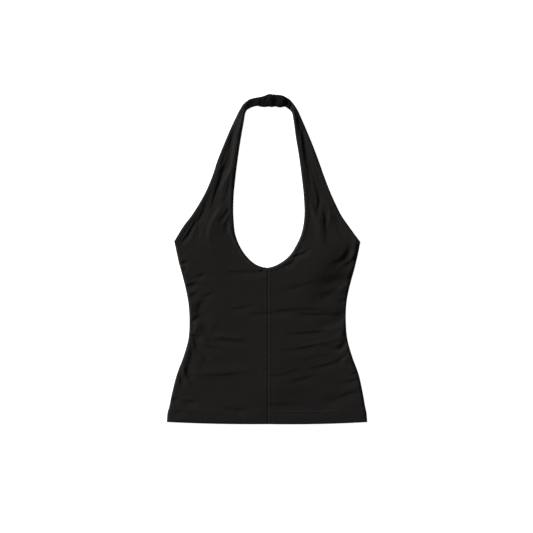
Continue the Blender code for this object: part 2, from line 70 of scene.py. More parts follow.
camera_data = bpy.data.cameras.new("top_camera")
camera = bpy.data.objects.new("top_camera", camera_data)
bpy.context.scene.collection.objects.link(camera)
camera_data.lens = LENS_MM
camera_data.sensor_width = SENSOR_MM
camera_data.clip_end = FAR_CLIP
camera_height = FRAME_PIXELS * MM_PER_PIXEL * LENS_MM / SENSOR_MM
camera.location = Vector((*PICTURE_CENTRE, camera_height)) * MM
bpy.context.scene.camera = camera
print("camera", round(camera_height), "mm above the table")

# %% [markdown]
# ## Table and light
#
# The table is matt white. It glows a little, like the acrylic of a light table, so that the thin
# shadow round the cloth stays faint. One wide, soft lamp stands on the left beyond the neck. Its low
# angle draws the folds of the black cloth, and a weak fill from the other side opens the shadows.

# %% Table, lamps and the tone of the picture
TABLE_SIZE = 40.0     # metres, as are all sizes and places of the studio
TABLE_DROP = 0.0004   # the table's top lies this far under the cloth
TABLE_COLOR = (0.82, 0.82, 0.82, 1.0)
TABLE_ROUGHNESS = 0.7
TABLE_GLOW = 0.95
Lamp = namedtuple("Lamp", "name place size power")
LAMPS = (  # power in watts
    Lamp("key_lamp", (-8.64, 5.79, 2.99), 3.5, 2770.0),
    Lamp("fill_lamp", (2.2, -1.8, 2.4), 2.6, 6.0),
)
ROOM_COLOR = (0.95, 0.96, 1.0, 1.0)
ROOM_STRENGTH = 0.08


def deselect_all():
    for obj in list(bpy.context.selected_objects):
        obj.select_set(False)


def table_material():
    material = bpy.data.materials.new("white_table")
    material.use_nodes = True
    shader = material.node_tree.nodes["Principled BSDF"]
    shader.inputs["Base Color"].default_value = TABLE_COLOR
    shader.inputs["Roughness"].default_value = TABLE_ROUGHNESS
    shader.inputs["Emission Color"].default_value = (1.0, 1.0, 1.0, 1.0)
    shader.inputs["Emission Strength"].default_value = TABLE_GLOW
    return material


def add_lamp(lamp):
    light = bpy.data.lights.new(lamp.name, "AREA")
    light.shape = "DISK"
    light.size = lamp.size
    light.energy = lamp.power
    obj = bpy.data.objects.new(lamp.name, light)
    obj.location = lamp.place
    obj.rotation_euler = (-Vector(lamp.place)).to_track_quat("-Z", "Y").to_euler()
    bpy.context.scene.collection.objects.link(obj)


deselect_all()
bpy.ops.mesh.primitive_plane_add(size=TABLE_SIZE, location=(0.0, 0.0, -TABLE_DROP))
table = bpy.context.active_object
table.name = "table_top"
table.data.materials.append(table_material())
for lamp in LAMPS:
    add_lamp(lamp)

room = bpy.data.worlds.new("studio")
room.use_nodes = True
background = room.node_tree.nodes["Background"]
background.inputs["Color"].default_value = ROOM_COLOR
background.inputs["Strength"].default_value = ROOM_STRENGTH
bpy.context.scene.world = room
bpy.context.scene.view_settings.view_transform = "Standard"
print("lamps:", ", ".join(lamp.name for lamp in LAMPS))

# %% [markdown]
# ## The cut of a front panel
#
# Each front panel is one piece from the hem to the end of its neck strap. The table gives it section
# by section, from its outer edge to its inner edge, hem first. Hermite curves join the sections, so a
# few rows are enough, and a corner is left only where the real edge has one. The points are the same
# as those of the solids, which keeps the cloth on them.

# %% Sections of both front panels
CENTRE_X = 1.4        # centre front seam
ROW_FINENESS = 4      # rows of mesh for each row of the table's count
RIGHT_HEM_BOW = -7.4  # the right panel's hem sags more than the left's
# From left to right: the left panel's outer and inner edge, then the right panel's inner and outer edge.
# Last come how far the section bows between its edges, and its rows of mesh up to the next section.
Section = namedtuple(
    "Section", "name left_x left_y left_in_x left_in_y right_in_x right_in_y right_x right_y bow rows"
)
SECTIONS = (
    Section("hem fold", -200.6, -325.0, CENTRE_X, -329.3, CENTRE_X, -329.3, 200.6, -325.2, -6.2, 3),
    Section("under hem stitches", -198.2, -302.4, CENTRE_X, -308.0, CENTRE_X, -308.0, 198.4, -302.6, -5.0, 1),
    Section("over hem stitches", -197.4, -300.0, CENTRE_X, -305.5, CENTRE_X, -305.5, 197.8, -300.2, -5.0, 4),
    Section("low hip", -191.2, -271.8, CENTRE_X, -275.0, CENTRE_X, -275.0, 192.6, -271.8, -3.0, 6),
    Section("hip", -180.4, -229.6, CENTRE_X, -230.0, CENTRE_X, -230.0, 183.4, -229.8, -1.0, 5),
    Section("high hip", -167.0, -193.6, CENTRE_X, -194.0, CENTRE_X, -194.0, 170.4, -193.8, 0.0, 5),
    Section("below waist", -157.2, -157.8, CENTRE_X, -158.0, CENTRE_X, -158.0, 160.6, -157.8, 0.0, 5),
    Section("waist", -155.2, -124.0, CENTRE_X, -124.0, CENTRE_X, -124.0, 157.8, -124.0, 0.0, 4),
    Section("above waist", -156.6, -94.2, CENTRE_X, -96.0, CENTRE_X, -96.0, 158.4, -94.0, 0.0, 4),
    Section("ribs", -162.8, -56.2, CENTRE_X, -66.0, CENTRE_X, -66.0, 164.4, -56.0, 0.0, 4),
    Section("under bust", -172.6, -20.4, CENTRE_X, -43.0, CENTRE_X, -43.0, 174.6, -20.2, 0.0, 2),
    Section("under the neckline", -176.2, -7.6, CENTRE_X, -31.0, CENTRE_X, -31.0, 177.8, -7.4, 0.0, 1),
    Section("foot of the neckline", -177.9, -0.4, CENTRE_X, -16.8, CENTRE_X, -16.8, 179.3, -0.8, 0.0, 1),
    Section("under the armhole", -180.5, 11.6, -8.6, -15.3, 9.8, -14.9, 182.2, 11.4, 0.0, 2),
    Section("armhole point", -185.4, 36.0, -19.8, -11.4, 19.8, -11.0, 186.6, 34.2, 0.0, 4),
    Section("bust", -165.6, 68.2, -43.2, 8.4, 45.8, 8.2, 161.8, 68.2, 0.0, 3),
    Section("upper bust", -150.2, 88.2, -55.6, 28.2, 58.8, 28.2, 148.2, 88.2, 0.0, 3),
    Section("top of bust", -137.2, 108.2, -63.2, 48.2, 68.0, 48.0, 138.0, 108.2, 0.0, 4),
    Section("strap foot", -120.8, 138.2, -67.4, 84.0, 74.8, 84.0, 124.6, 138.2, 0.0, 4),
    Section("low strap", -108.4, 168.2, -67.2, 124.0, 74.0, 124.0, 113.2, 168.2, 0.0, 4),
    Section("strap", -98.6, 198.2, -63.2, 166.0, 69.6, 166.0, 102.6, 198.2, 0.0, 4),
    Section("high strap", -86.6, 228.2, -57.8, 208.0, 64.0, 208.0, 91.2, 228.2, 0.0, 4),
    Section("narrow strap", -74.0, 258.2, -51.8, 247.0, 57.6, 247.0, 78.8, 258.2, 0.0, 3),
    Section("strap shoulder", -62.4, 283.2, -46.0, 279.0, 53.0, 279.0, 68.0, 283.2, 0.0, 2),
    Section("strap turn", -54.8, 298.4, -43.6, 292.2, 49.4, 294.4, 61.2, 298.4, 0.0, 2),
    Section("strap end turn", -45.8, 312.0, -41.0, 298.0, 45.6, 299.0, 52.6, 311.2, 0.0, 2),
    Section("strap end", -35.6, 320.0, -31.0, 304.2, 39.4, 303.6, 44.4, 320.8, 0.0, 0),
)
SECTION_NAMES = [section.name for section in SECTIONS]
ARMHOLE_POINT = SECTION_NAMES.index("armhole point")         # the side seam ends and the armhole begins
NECKLINE_FOOT = SECTION_NAMES.index("foot of the neckline")  # the centre seam ends, the neckline begins
NECKLINE_FOOT_Y = SECTIONS[NECKLINE_FOOT].left_in_y
print(len(SECTIONS), "sections in each panel")


# %% Curves through the sections
def smooth_step(value, start, end):
    """0 before start, 1 after end, and a smooth rise between them."""
    share = np.clip((value - start) / (end - start), 0.0, 1.0)
    return share * share * (3.0 - 2.0 * share)


def tangents(points, corners):
    """Direction of travel at each point, before it and after it. The two differ at a corner."""
    steps = np.diff(points, axis=0)
    lengths = np.linalg.norm(steps, axis=1)
    slopes = steps / lengths[:, None]
    before = np.vstack([slopes[:1], slopes])
    after = np.vstack([slopes, slopes[-1:]])
    for i in range(1, len(points) - 1):
        if not corners[i]:
            weight = lengths[i] / (lengths[i - 1] + lengths[i])
            before[i] = after[i] = weight * slopes[i - 1] + (1.0 - weight) * slopes[i]
    return before, after, lengths


def smooth_path(points, corners, rows):
    """A Hermite curve through the points, with rows[i] steps from point i to the next."""
    points = np.array(points, float)
    before, after, lengths = tangents(points, corners)
    path = []
    for i, count in enumerate(rows[:-1]):
        for step in range(count):
            t = step / count
            path.append(
                (2 * t**3 - 3 * t**2 + 1) * points[i]
                + (t**3 - 2 * t**2 + t) * after[i] * lengths[i]
                + (3 * t**2 - 2 * t**3) * points[i + 1]
                + (t**3 - t**2) * before[i + 1] * lengths[i]
            )
    path.append(points[-1])
    return np.array(path)


def soft_curve(points, steps):
    """A smooth curve with no corners through the points of a fold."""
    return smooth_path(points, [False] * len(points), [steps] * len(points))


Edges = namedtuple("Edges", "outer inner bow")


def panel_edges(outer, inner, bows):
    """The outer edge, the inner edge and the bow of each row of a panel, from those of its sections."""
    rows = [section.rows * ROW_FINENESS for section in SECTIONS]
    count = range(len(SECTIONS))
    return Edges(
        smooth_path(outer, [i == ARMHOLE_POINT for i in count], rows),
        smooth_path(inner, [i == NECKLINE_FOOT for i in count], rows),
        smooth_path(list(zip(bows, count)), [True] * len(bows), rows)[:, 0],
    )


def row_of_section(index):
    return sum(section.rows for section in SECTIONS[:index]) * ROW_FINENESS


ARMHOLE_ROW = row_of_section(ARMHOLE_POINT)
NECKLINE_ROW = row_of_section(NECKLINE_FOOT)
BOWS = [section.bow for section in SECTIONS]
EDGES = {
    "left": panel_edges(
        [(s.left_x, s.left_y) for s in SECTIONS], [(s.left_in_x, s.left_in_y) for s in SECTIONS], BOWS
    ),
    "right": panel_edges(
        [(s.right_x, s.right_y) for s in SECTIONS],
        [(s.right_in_x, s.right_in_y) for s in SECTIONS],
        [RIGHT_HEM_BOW, *BOWS[1:]],
    ),
}
print("each front panel:", len(EDGES["left"].outer), "rows")


# %% Distance from a curve
def nearest_on(path, x, y, reach=None):
    """For points x, y: distance to a curve, share of its length passed there, and its signed side.
    Only points within reach of the curve's box are worked out, and the rest are left far away."""
    far = np.full(x.shape, 1e6)
    along = np.zeros(x.shape)
    offset = np.zeros(x.shape)
    low, high = path.min(axis=0), path.max(axis=0)
    if reach is None:
        near = np.ones(x.shape, bool)
    else:
        near = (x > low[0] - reach) & (x < high[0] + reach) & (y > low[1] - reach) & (y < high[1] + reach)
    px, py = x[near], y[near]
    best, best_along, best_offset = far[near], along[near], offset[near]
    legs = np.diff(path, axis=0)
    lengths = np.linalg.norm(legs, axis=1)
    passed = np.concatenate([[0.0], np.cumsum(lengths)])
    for start, leg, length, before in zip(path, legs, lengths, passed):
        share = np.clip(((px - start[0]) * leg[0] + (py - start[1]) * leg[1]) / length**2, 0.0, 1.0)
        dx, dy = px - start[0] - share * leg[0], py - start[1] - share * leg[1]
        distance = np.hypot(dx, dy)
        closer = distance < best
        best = np.where(closer, distance, best)
        best_along = np.where(closer, (before + share * length) / passed[-1], best_along)
        best_offset = np.where(closer, np.copysign(distance, leg[0] * dy - leg[1] * dx), best_offset)
    far[near], along[near], offset[near] = best, best_along, best_offset
    return far, along, offset


# %% [markdown]
# ## What the front lies on
#
# The back is low: its upper edge is a shallow curve under the bust. The front rests on it there and
# comes down to the table past that edge. Loosely laid cloth also stands a little off what is under it,
# and only its edges lie down.

# %% Ground under the front, and the distances to a panel's edges
BACK_CLOTH = 1.2
BACK_SIDE_Y = 18.0    # the back's upper edge at the side seams
BACK_DIP = 64.0       # how far it dips at the middle
BACK_HALF_WIDTH = 180.0
BACK_INSET = 1.8      # the front rolls down past the back's side edges, which lie this far in
BACK_SIDE_START = 0.3  # the back begins to hold the front up this far in from the side fold
SEAM_GAP = 0.3        # between two pieces that are sewn together
STEP_DOWN = (20.0, 80.0)  # the front comes down to the table between these distances past the back
EDGE_STRIDE = 3       # every third point of an edge is close enough to measure distances from
EdgeDistances = namedtuple("EdgeDistances", "side bound bound_place hem strap_end")


def back_top_y(x):
    return BACK_SIDE_Y - BACK_DIP * (1.0 - (x / BACK_HALF_WIDTH) ** 2)


def hem_line(edges, share):
    """y of the hem's fold, at a share of the way from a panel's outer edge to its inner edge."""
    rise = edges.inner[0, 1] - edges.outer[0, 1]
    return edges.outer[0, 1] + rise * share + edges.bow[0] * share * (1.0 - share)


def edge_distances(side, x, y):
    """Distances to the side fold, to the bound armhole and neckline, to the hem and to the strap's end.
    bound_place is how far along the nearest bound edge a point lies."""
    edges = EDGES[side]
    folded = edges.outer[: ARMHOLE_ROW + 1 : EDGE_STRIDE]
    bound = [edges.outer[ARMHOLE_ROW::EDGE_STRIDE], edges.inner[NECKLINE_ROW::EDGE_STRIDE]]
    share = (x - edges.outer[0, 0]) / (edges.inner[0, 0] - edges.outer[0, 0])
    armhole, neckline = [nearest_on(path, x, y) for path in bound]
    lengths = [np.linalg.norm(np.diff(path, axis=0), axis=1).sum() for path in bound]
    at_armhole = armhole[0] < neckline[0]
    return EdgeDistances(
        nearest_on(folded, x, y)[0],
        np.where(at_armhole, armhole[0], neckline[0]),
        np.where(at_armhole, armhole[1] * lengths[0], neckline[1] * lengths[1]),
        np.maximum(y - hem_line(edges, share), 0.0),
        nearest_on(np.array([edges.outer[-1], edges.inner[-1]]), x, y)[0],
    )


def ground_under_front(x, y, near):
    """Height of what the front rests on: the back, or the table past it."""
    on_back = (BACK_CLOTH + SEAM_GAP) * (1.0 - smooth_step(y - back_top_y(x), *STEP_DOWN))
    return on_back * smooth_step(near.side, BACK_SIDE_START, BACK_INSET)


print("the back reaches y", BACK_SIDE_Y, "mm at its sides and", back_top_y(0.0), "mm at the middle")

# %% [markdown]
# ## Folds
#
# Cloth that has been worn and laid out by hand keeps soft folds. Long ones run up the straps and fan
# out over the bust, short puckers stand along the side seams, and shallow creases cross the body.
# A simulation would drape the cloth in its own way, so each fold is placed here: a smooth curve
# with a lift, above 0 for a ridge and below 0 for a trough, and a spread, its half width. A fold also
# pushes a little cloth to both of its sides, which the shoulders stand for.

# %% How one fold shapes the cloth
Fold = namedtuple("Fold", "name lift spread lean points")
FOLD_STEPS = 6        # legs of a fold's curve between two of its points
FOLD_FADE = 0.34      # share of its length over which each end dies away
FOLD_REACH = 5.0      # nothing is left of a fold this many spreads from its middle
SHOULDER = 0.16       # height of the cloth pushed aside, as a share of the lift
SHOULDER_PLACE = 2.1  # its distance, in spreads
SHOULDER_SPREAD = 1.15
LONG_WAVER = (0.16, 7.0)    # a fold's height is uneven along it, by a long and a short wave:
SHORT_WAVER = (0.09, 17.0)  # share of the lift, and radians from the fold's start to its end


def fold_relief(x, y, fold):
    """Height that one fold adds. lean makes the left flank steeper, seen along the fold's points."""
    path = soft_curve(fold.points, FOLD_STEPS)
    reach = FOLD_REACH * fold.spread
    distance, along, offset = nearest_on(path, x, y, reach)
    ends = smooth_step(along, -FOLD_FADE / 2, FOLD_FADE) * smooth_step(1.0 - along, -FOLD_FADE / 2, FOLD_FADE)
    uneven = 1.0
    for (share, radians), start in zip((LONG_WAVER, SHORT_WAVER), fold.points[0]):
        uneven = uneven + share * np.sin(radians * along + start)
    place = offset / fold.spread
    place = place * (1.0 + fold.lean * np.tanh(place))
    crest = np.exp(-(place**2))
    pushed = sum(np.exp(-(((place - s * SHOULDER_PLACE) / SHOULDER_SPREAD) ** 2)) for s in (-1.0, 1.0))
    return fold.lift * uneven * ends * (crest - SHOULDER * pushed) * (distance < reach)


# %% Folds of the left strap and the left bust
LEFT_FOLDS = (
    Fold("strap, fullness", 1.0, 30.0, 0.0, ((-104, 50), (-84, 110), (-72, 190), (-60, 250), (-47, 300))),
    Fold("strap, broad trough", -0.4, 8.0, 0.0, ((-66, 270), (-73, 242), (-80, 212), (-88, 184))),
    Fold("strap, long valley, upper part", -0.45, 3.0, -0.5,
         ((-68, 258), (-72, 236), (-75, 218), (-78, 204), (-84, 190))),
    Fold("strap, long valley, lower part", -1.15, 3.7, -0.5,
         ((-77, 200), (-82, 190), (-87, 180), (-92, 163), (-99, 142), (-105, 122), (-112, 98))),
    Fold("strap, top ridge", 3.0, 5.5, 0.4, ((-41, 313), (-47, 294), (-50, 279), (-54, 262), (-57, 250))),
    Fold("strap, ridge beside the valley", 1.5, 5.2, -0.4,
         ((-58, 268), (-61, 240), (-64, 220), (-67, 200), (-71, 181), (-76, 168), (-80, 156))),
    Fold("strap, ridge below the bend", 1.1, 6.0, -0.5,
         ((-66, 190), (-71, 178), (-78, 167), (-84, 156), (-88, 146), (-90, 136))),
    Fold("strap, branch of the valley", -0.6, 3.0, -0.3, ((-92, 172), (-86, 178), (-80, 184))),
    Fold("strap, outer ridge", 0.6, 3.2, 0.0,
         ((-88, 208), (-95, 184), (-102, 162), (-108, 144), (-114, 128))),
    Fold("strap, ridge by the neckline", 0.8, 3.6, 0.0, ((-69, 180), (-71, 150), (-73, 122), (-74, 96))),
    Fold("bust, middle valley", -0.7, 3.2, -0.4, ((-74, 104), (-81, 93), (-88, 84), (-95, 77))),
    Fold("bust, ridge between the valleys", 0.5, 3.0, 0.0, ((-76, 92), (-80, 84), (-86, 74), (-90, 60))),
    Fold("bust, inner valley", -0.3, 3.6, -0.4, ((-74, 84), (-78, 70), (-82, 58), (-86, 44))),
    Fold("bust, ridge by the neckline", 0.9, 3.4, 0.0, ((-76, 82), (-73, 60), (-65, 40), (-58, 26))),
    Fold("bust, broad ridge", 1.4, 6.5, -0.6,
         ((-88, 108), (-96, 95), (-105, 81), (-111, 68), (-114, 54), (-115, 36))),
    Fold("bust, outer valley", -1.0, 4.2, -0.5,
         ((-120, 114), (-126, 98), (-131, 86), (-135, 76), (-137, 62), (-136, 42))),
    Fold("bust, faint outer streak", -0.4, 4.0, -0.4, ((-142, 66), (-144, 50), (-143, 36))),
    Fold("armhole, valley", -1.3, 3.0, -0.3,
         ((-136, 86), (-142, 75), (-148, 65), (-154, 55), (-160, 45), (-170, 33))),
)
print(len(LEFT_FOLDS), "folds on the left strap and bust")

# %% Folds of the right strap and the right bust
RIGHT_FOLDS = (
    Fold("strap, fall to its outer edge", 0.7, 26.0, 0.0,
         ((92, 50), (80, 110), (70, 190), (60, 250), (46, 300))),
    Fold("strap, fall at its top", 2.1, 7.0, 0.3, ((49, 308), (53, 292), (56, 274), (57, 250))),
    Fold("strap, inner ridge at the top", 0.4, 2.6, 0.0, ((64, 268), (66, 250), (68, 232), (70, 214))),
    Fold("strap, inner valley", -1.4, 3.8, -0.5, ((73, 272), (73, 246), (76, 222), (79, 200), (82, 182))),
    Fold("strap, end of the inner valley", -0.7, 3.4, -0.4, ((81, 200), (83, 178), (86, 156), (88, 136))),
    Fold("strap, outer valley", -0.7, 4.0, -0.5,
         ((84, 206), (89, 182), (95, 160), (100, 142), (104, 124), (104, 108), (100, 94))),
    Fold("strap, foot of the outer valley", -0.45, 3.4, -0.4, ((104, 132), (105, 118), (103, 106), (99, 96))),
    Fold("bust, short neckline dip", -0.3, 2.8, -0.3, ((87, 102), (88, 92), (88, 80))),
    Fold("bust, small ridge", 0.7, 4.0, 0.0, ((88, 112), (93, 96), (97, 82))),
    Fold("bust, ridge below the strap", 1.4, 9.0, 0.0, ((100, 98), (105, 80), (107, 60), (108, 28))),
    Fold("bust, middle valley", -0.9, 3.2, -0.3, ((113, 98), (116, 87), (117, 76), (118, 62))),
    Fold("bust, end of the middle valley", -0.3, 4.2, -0.2, ((118, 66), (120, 50), (120, 32))),
    Fold("bust, ridge beside the valley", 0.7, 4.5, -0.5, ((122, 116), (125, 102), (126, 88), (126, 72))),
    Fold("bust, outer valley", -0.3, 4.2, -0.2, ((139, 82), (142, 68), (145, 54))),
    Fold("bust, outer valley, lower part", -0.4, 4.2, -0.2, ((142, 62), (150, 48), (158, 36))),
    Fold("side, long fold under the bust", -1.4, 6.5, -0.4, ((168, 25), (161, 10), (151, -2), (130, -10))),
    Fold("side, second fold", -1.5, 5.0, -0.5, ((182, 9), (172, -2), (163, -10), (152, -16))),
    Fold("side, fall at the armhole point", 1.3, 4.4, 0.2, ((178, 42), (176, 30), (174, 14), (170, -5))),
    Fold("side, dip under the armhole", -1.4, 5.5, -0.3, ((178, -18), (171, -31), (165, -46))),
    Fold("under the bust, faint crease", -0.6, 6.0, 0.4, ((30, -61), (60, -57), (86, -50), (104, -45))),
    Fold("under the bust, short dip", -0.8, 5.5, 0.3, ((106, -71), (120, -72), (134, -66))),
    Fold("under the bust, dark hollow", -0.9, 9.0, 0.0, ((98, -56), (122, -47), (146, -40), (168, -36))),
    Fold("under the bust, ridge by the side", 1.0, 6.0, -0.4, ((170, -47), (155, -55), (142, -66))),
    Fold("neckline, short fold", -1.0, 3.0, 0.5, ((50, 3), (62, 8), (72, 11), (84, 20))),
    Fold("neckline, second short fold", -0.8, 3.0, 0.5, ((34, -13), (42, -11), (50, -7), (56, -2))),
)
print(len(RIGHT_FOLDS), "folds on the right strap and bust")

# %% Creases across the body
BODY_FOLDS = (
    Fold("crease below the neckline", -0.7, 3.2, 0.7, ((-82, -26), (-50, -26), (-14, -25))),
    Fold("crease below the neckline, inner part", -0.8, 3.4, 0.5,
         ((-48, -26), (-28, -26), (-14, -25), (-6, -19), (0, -10))),
    Fold("wide ridge over the waist", 0.8, 10.0, 0.0, ((10, -86), (70, -92), (112, -98), (156, -100))),
    Fold("long crease over the waist, left part", -0.7, 4.0, 0.5,
         ((-30, -111), (2, -110), (24, -106), (52, -106))),
    Fold("long crease over the waist, right part", -1.0, 4.6, 0.5,
         ((56, -109), (84, -112), (118, -112), (146, -112))),
    Fold("upper crease over the waist", -0.5, 4.0, 0.5, ((20, -103), (60, -102), (104, -103), (128, -107))),
    Fold("deep fold at the right waist", -1.8, 8.0, -0.2,
         ((102, -132), (126, -130), (140, -124), (150, -114), (160, -104))),
    Fold("curved ridge at the right waist", 0.8, 7.0, 0.3,
         ((62, -176), (100, -172), (132, -164), (152, -147), (158, -126))),
    Fold("left crease at the ribs", -0.6, 4.0, 0.5, ((-70, -101), (-48, -97), (-24, -94))),
    Fold("left dip at the ribs", -0.4, 4.0, 0.4, ((-38, -108), (-20, -110), (-4, -106))),
    Fold("left ridge at the waist", 0.9, 5.0, 0.0, ((-106, -152), (-80, -154), (-44, -158))),
    Fold("left crease at the waist", -0.6, 3.8, 0.55, ((-108, -157), (-84, -162), (-58, -166), (-34, -168))),
    Fold("left crease below the waist", -0.7, 4.0, 0.5, ((-134, -170), (-118, -175), (-94, -181))),
    Fold("right crease at the waist", -1.0, 4.6, 0.5, ((40, -151), (80, -149), (122, -145))),
    Fold("right long crease below the waist", -0.9, 4.2, 0.5,
         ((30, -182), (66, -180), (98, -173), (126, -167), (152, -162))),
    Fold("right crossing crease below the waist", -1.0, 4.2, 0.4, ((112, -168), (132, -176), (150, -183))),
    Fold("right crease at the hip", -1.0, 4.2, 0.5, ((88, -219), (112, -215), (137, -207), (160, -191))),
    Fold("left ridge at the hip", 0.9, 11.0, 0.0, ((-146, -229), (-100, -225), (-34, -220))),
    Fold("left crease at the hip", -0.5, 4.2, 0.5, ((-143, -236), (-124, -233), (-98, -234), (-52, -229))),
    Fold("left short crease above the hip", -0.25, 4.0, 0.4, ((-84, -207), (-70, -208), (-56, -207))),
    Fold("middle crease at the hip, upper", -0.6, 4.2, 0.5, ((0, -234), (26, -233), (60, -223))),
    Fold("middle crease at the hip, lower", -0.6, 4.2, 0.5, ((16, -246), (56, -244), (104, -231))),
    Fold("right crease below the hip", -0.9, 5.0, 0.4, ((142, -247), (164, -246), (188, -238))),
    Fold("right low crease", -0.9, 6.0, 0.4, ((110, -290), (134, -284), (158, -273), (190, -263))),
    Fold("right low hollow", -0.7, 8.0, 0.3, ((110, -282), (134, -276), (150, -272))),
    Fold("left low crease", -0.5, 5.0, 0.4, ((-166, -285), (-138, -285))),
    Fold("middle low crease", -0.9, 8.0, 0.6, ((-8, -289), (24, -294), (50, -294), (76, -291))),
    Fold("low crease over the hem", -0.9, 5.0, 0.4, ((-90, -298), (-60, -303), (-34, -302))),
    Fold("broad rise beside the seam", 1.6, 42.0, 0.0, ((22, -150), (24, -210), (26, -290))),
    Fold("broad rise over the hem", 1.2, 40.0, 0.0, ((-200, -322), (-130, -324), (-50, -324))),
)
print(len(BODY_FOLDS), "folds across the body")

# %% Puckers along the side seams
SIDE_FOLDS = (
    Fold("left, under the armhole", -1.1, 3.6, 0.2, ((-180, -11), (-170, -9), (-159, -4))),
    Fold("left, dip at the armhole point", -0.7, 3.2, 0.0, ((-188, 13), (-178, 12), (-166, 10))),
    Fold("left, short dip", -0.9, 4.2, 0.4, ((-148, -37), (-137, -35), (-124, -29))),
    Fold("left, slanting dip", -0.6, 3.6, -0.2, ((-172, -36), (-166, -23), (-158, -10))),
    Fold("left, deep pucker", -1.7, 4.2, 0.5, ((-172, -60), (-157, -54), (-137, -49))),
    Fold("left, second pucker", -1.1, 3.6, 0.5, ((-159, -75), (-148, -71), (-137, -65))),
    Fold("left, inner pucker", -0.8, 3.8, 0.5, ((-134, -77), (-122, -74), (-106, -66))),
    Fold("left, ridge over the waist", 0.7, 5.0, 0.0, ((-150, -84), (-153, -98), (-153, -120))),
    Fold("left, hollow over the waist", -1.2, 7.5, -0.6,
         ((-121, -86), (-132, -91), (-135, -102), (-134, -112), (-144, -120))),
    Fold("left, foot of the hollow", -0.8, 4.0, 0.3,
         ((-158, -125), (-145, -121), (-133, -114), (-122, -108))),
    Fold("left, knuckle at the waist", 1.2, 5.0, -0.5, ((-146, -121), (-141, -135), (-146, -150))),
    Fold("left, waist crease", -1.1, 3.0, 0.4, ((-160, -150), (-148, -153), (-130, -159))),
    Fold("left, slanting valley", -1.4, 5.0, -0.4, ((-145, -150), (-142, -164), (-139, -180))),
    Fold("left, slanting valley, lower part", -0.5, 4.4, -0.5, ((-142, -164), (-132, -185), (-118, -206))),
    Fold("left, ridge under the waist", 0.8, 4.2, 0.0, ((-157, -172), (-160, -190), (-165, -206))),
    Fold("left, valley under the waist", -0.8, 4.6, -0.5, ((-149, -184), (-151, -199), (-157, -213))),
    Fold("left, hip ridge", 1.0, 4.4, 0.0, ((-164, -208), (-169, -236))),
    Fold("left, hip valley", -1.1, 4.2, -0.6, ((-162, -212), (-158, -228), (-152, -244))),
    Fold("left, outer hip valley", -1.1, 3.8, -0.4, ((-172, -234), (-169, -254))),
    Fold("left, low pucker", -1.3, 3.6, 0.4, ((-190, -279), (-176, -281))),
    Fold("left, low inner dip", -0.5, 4.4, 0.4, ((-166, -287), (-150, -286), (-136, -288))),
    Fold("left, corner valley", -0.5, 5.0, 0.3, ((-186, -310), (-164, -302))),
    Fold("right, first pucker", -1.2, 3.6, 0.4, ((147, -84), (156, -82), (166, -78))),
    Fold("right, waist pucker", -1.1, 3.4, 0.0, ((160, -134), (157, -145), (156, -157))),
    Fold("right, waist valley", -1.5, 4.6, 0.0, ((130, -181), (146, -178), (156, -168), (163, -157))),
    Fold("right, hip ridge", 0.8, 5.0, 0.0, ((150, -204), (166, -196))),
    Fold("right, low pucker", -0.8, 4.5, 0.2, ((166, -231), (188, -226))),
    Fold("right, rise along the hip", 0.8, 14.0, 0.0,
         ((156, -178), (171, -214), (182, -250), (190, -288), (194, -320))),
)
FOLDS = LEFT_FOLDS + RIGHT_FOLDS + BODY_FOLDS + SIDE_FOLDS
print(len(SIDE_FOLDS), "puckers along the side seams,", len(FOLDS), "folds in all")

# %% [markdown]
# ## Swells, puckers and the hem
#
# Wide, low swells are what worn cloth keeps of the bust's shape. The thread of the side seams, of the
# bindings and of the hem draws the cloth in a little, so short puckers stand square to those edges.

# %% Swells
Swell = namedtuple("Swell", "name x y radius_away radius_near radius_across lift")
SWELLS = (
    Swell("right bust", 99.0, -12.0, 44.0, 105.0, 66.0, 5.6),
    Swell("left bust", -112.0, 34.0, 50.0, 46.0, 50.0, 1.0),
)
AWAY = math.radians(-40.0)  # the way that the cloth falls from a swell, towards the lower right


def swell_relief(x, y, swell):
    """A rounded rise that is steeper on one side: radius_away down the fall and radius_near up it."""
    down = (x - swell.x) * math.cos(AWAY) + (y - swell.y) * math.sin(AWAY)
    across = (y - swell.y) * math.cos(AWAY) - (x - swell.x) * math.sin(AWAY)
    radius = np.where(down > 0.0, swell.radius_away, swell.radius_near)
    return swell.lift * np.exp(-((down / radius) ** 2) - (across / swell.radius_across) ** 2)


print("swells:", ", ".join(f"{swell.name} {swell.lift} mm" for swell in SWELLS))

# %% Edges that roll down and seams that draw the cloth in
SEAM_DIP = 0.3        # how far the centre seam draws the cloth down
SEAM_DIP_REACH = 1.5
SEAM_SHOULDER = 0.16  # and how far the turned seam allowance lifts it on both sides
SEAM_SHOULDER_PLACE = 3.6
PAST_THE_SEAM = 1000.0  # stands for the distance to the centre seam above its end
TOPSTITCH_IN = 6.4    # rows of stitches run this far from the centre seam and the bound edges
HEM_STITCHES = (19.5, 26.0)  # heights of the two rows of stitches over the hem's fold
STITCH_DIP = 0.07
STITCH_DIP_REACH = 0.8
Pucker = namedtuple("Pucker", "lift wave place reach")
SIDE_PUCKER = Pucker(0.16, 9.0, 3.0, 8.0)      # waves that a seam's thread draws into the cloth: their
BOUND_PUCKER = Pucker(0.12, 6.0, 4.5, 4.5)     # height and length, and how far from the edge they stand
HEM_PUCKER = Pucker(0.08, 5.0, 12.0, 16.0)
SWELLING = (0.55, 0.45, 0.17, 1.3)  # the waves grow and die: least share, change, pace and start
WANDERING = (2.4, 0.24)             # and they stand unevenly: radians that they wander, and their pace


def shoulder(distance, reach):
    """0 at an edge and 1 from reach on, rounded like the shoulder of a fold."""
    return 1.0 - (1.0 - np.clip(distance / reach, 0.0, 1.0)) ** 2


def groove(distance, reach):
    return np.exp(-((distance / reach) ** 2))


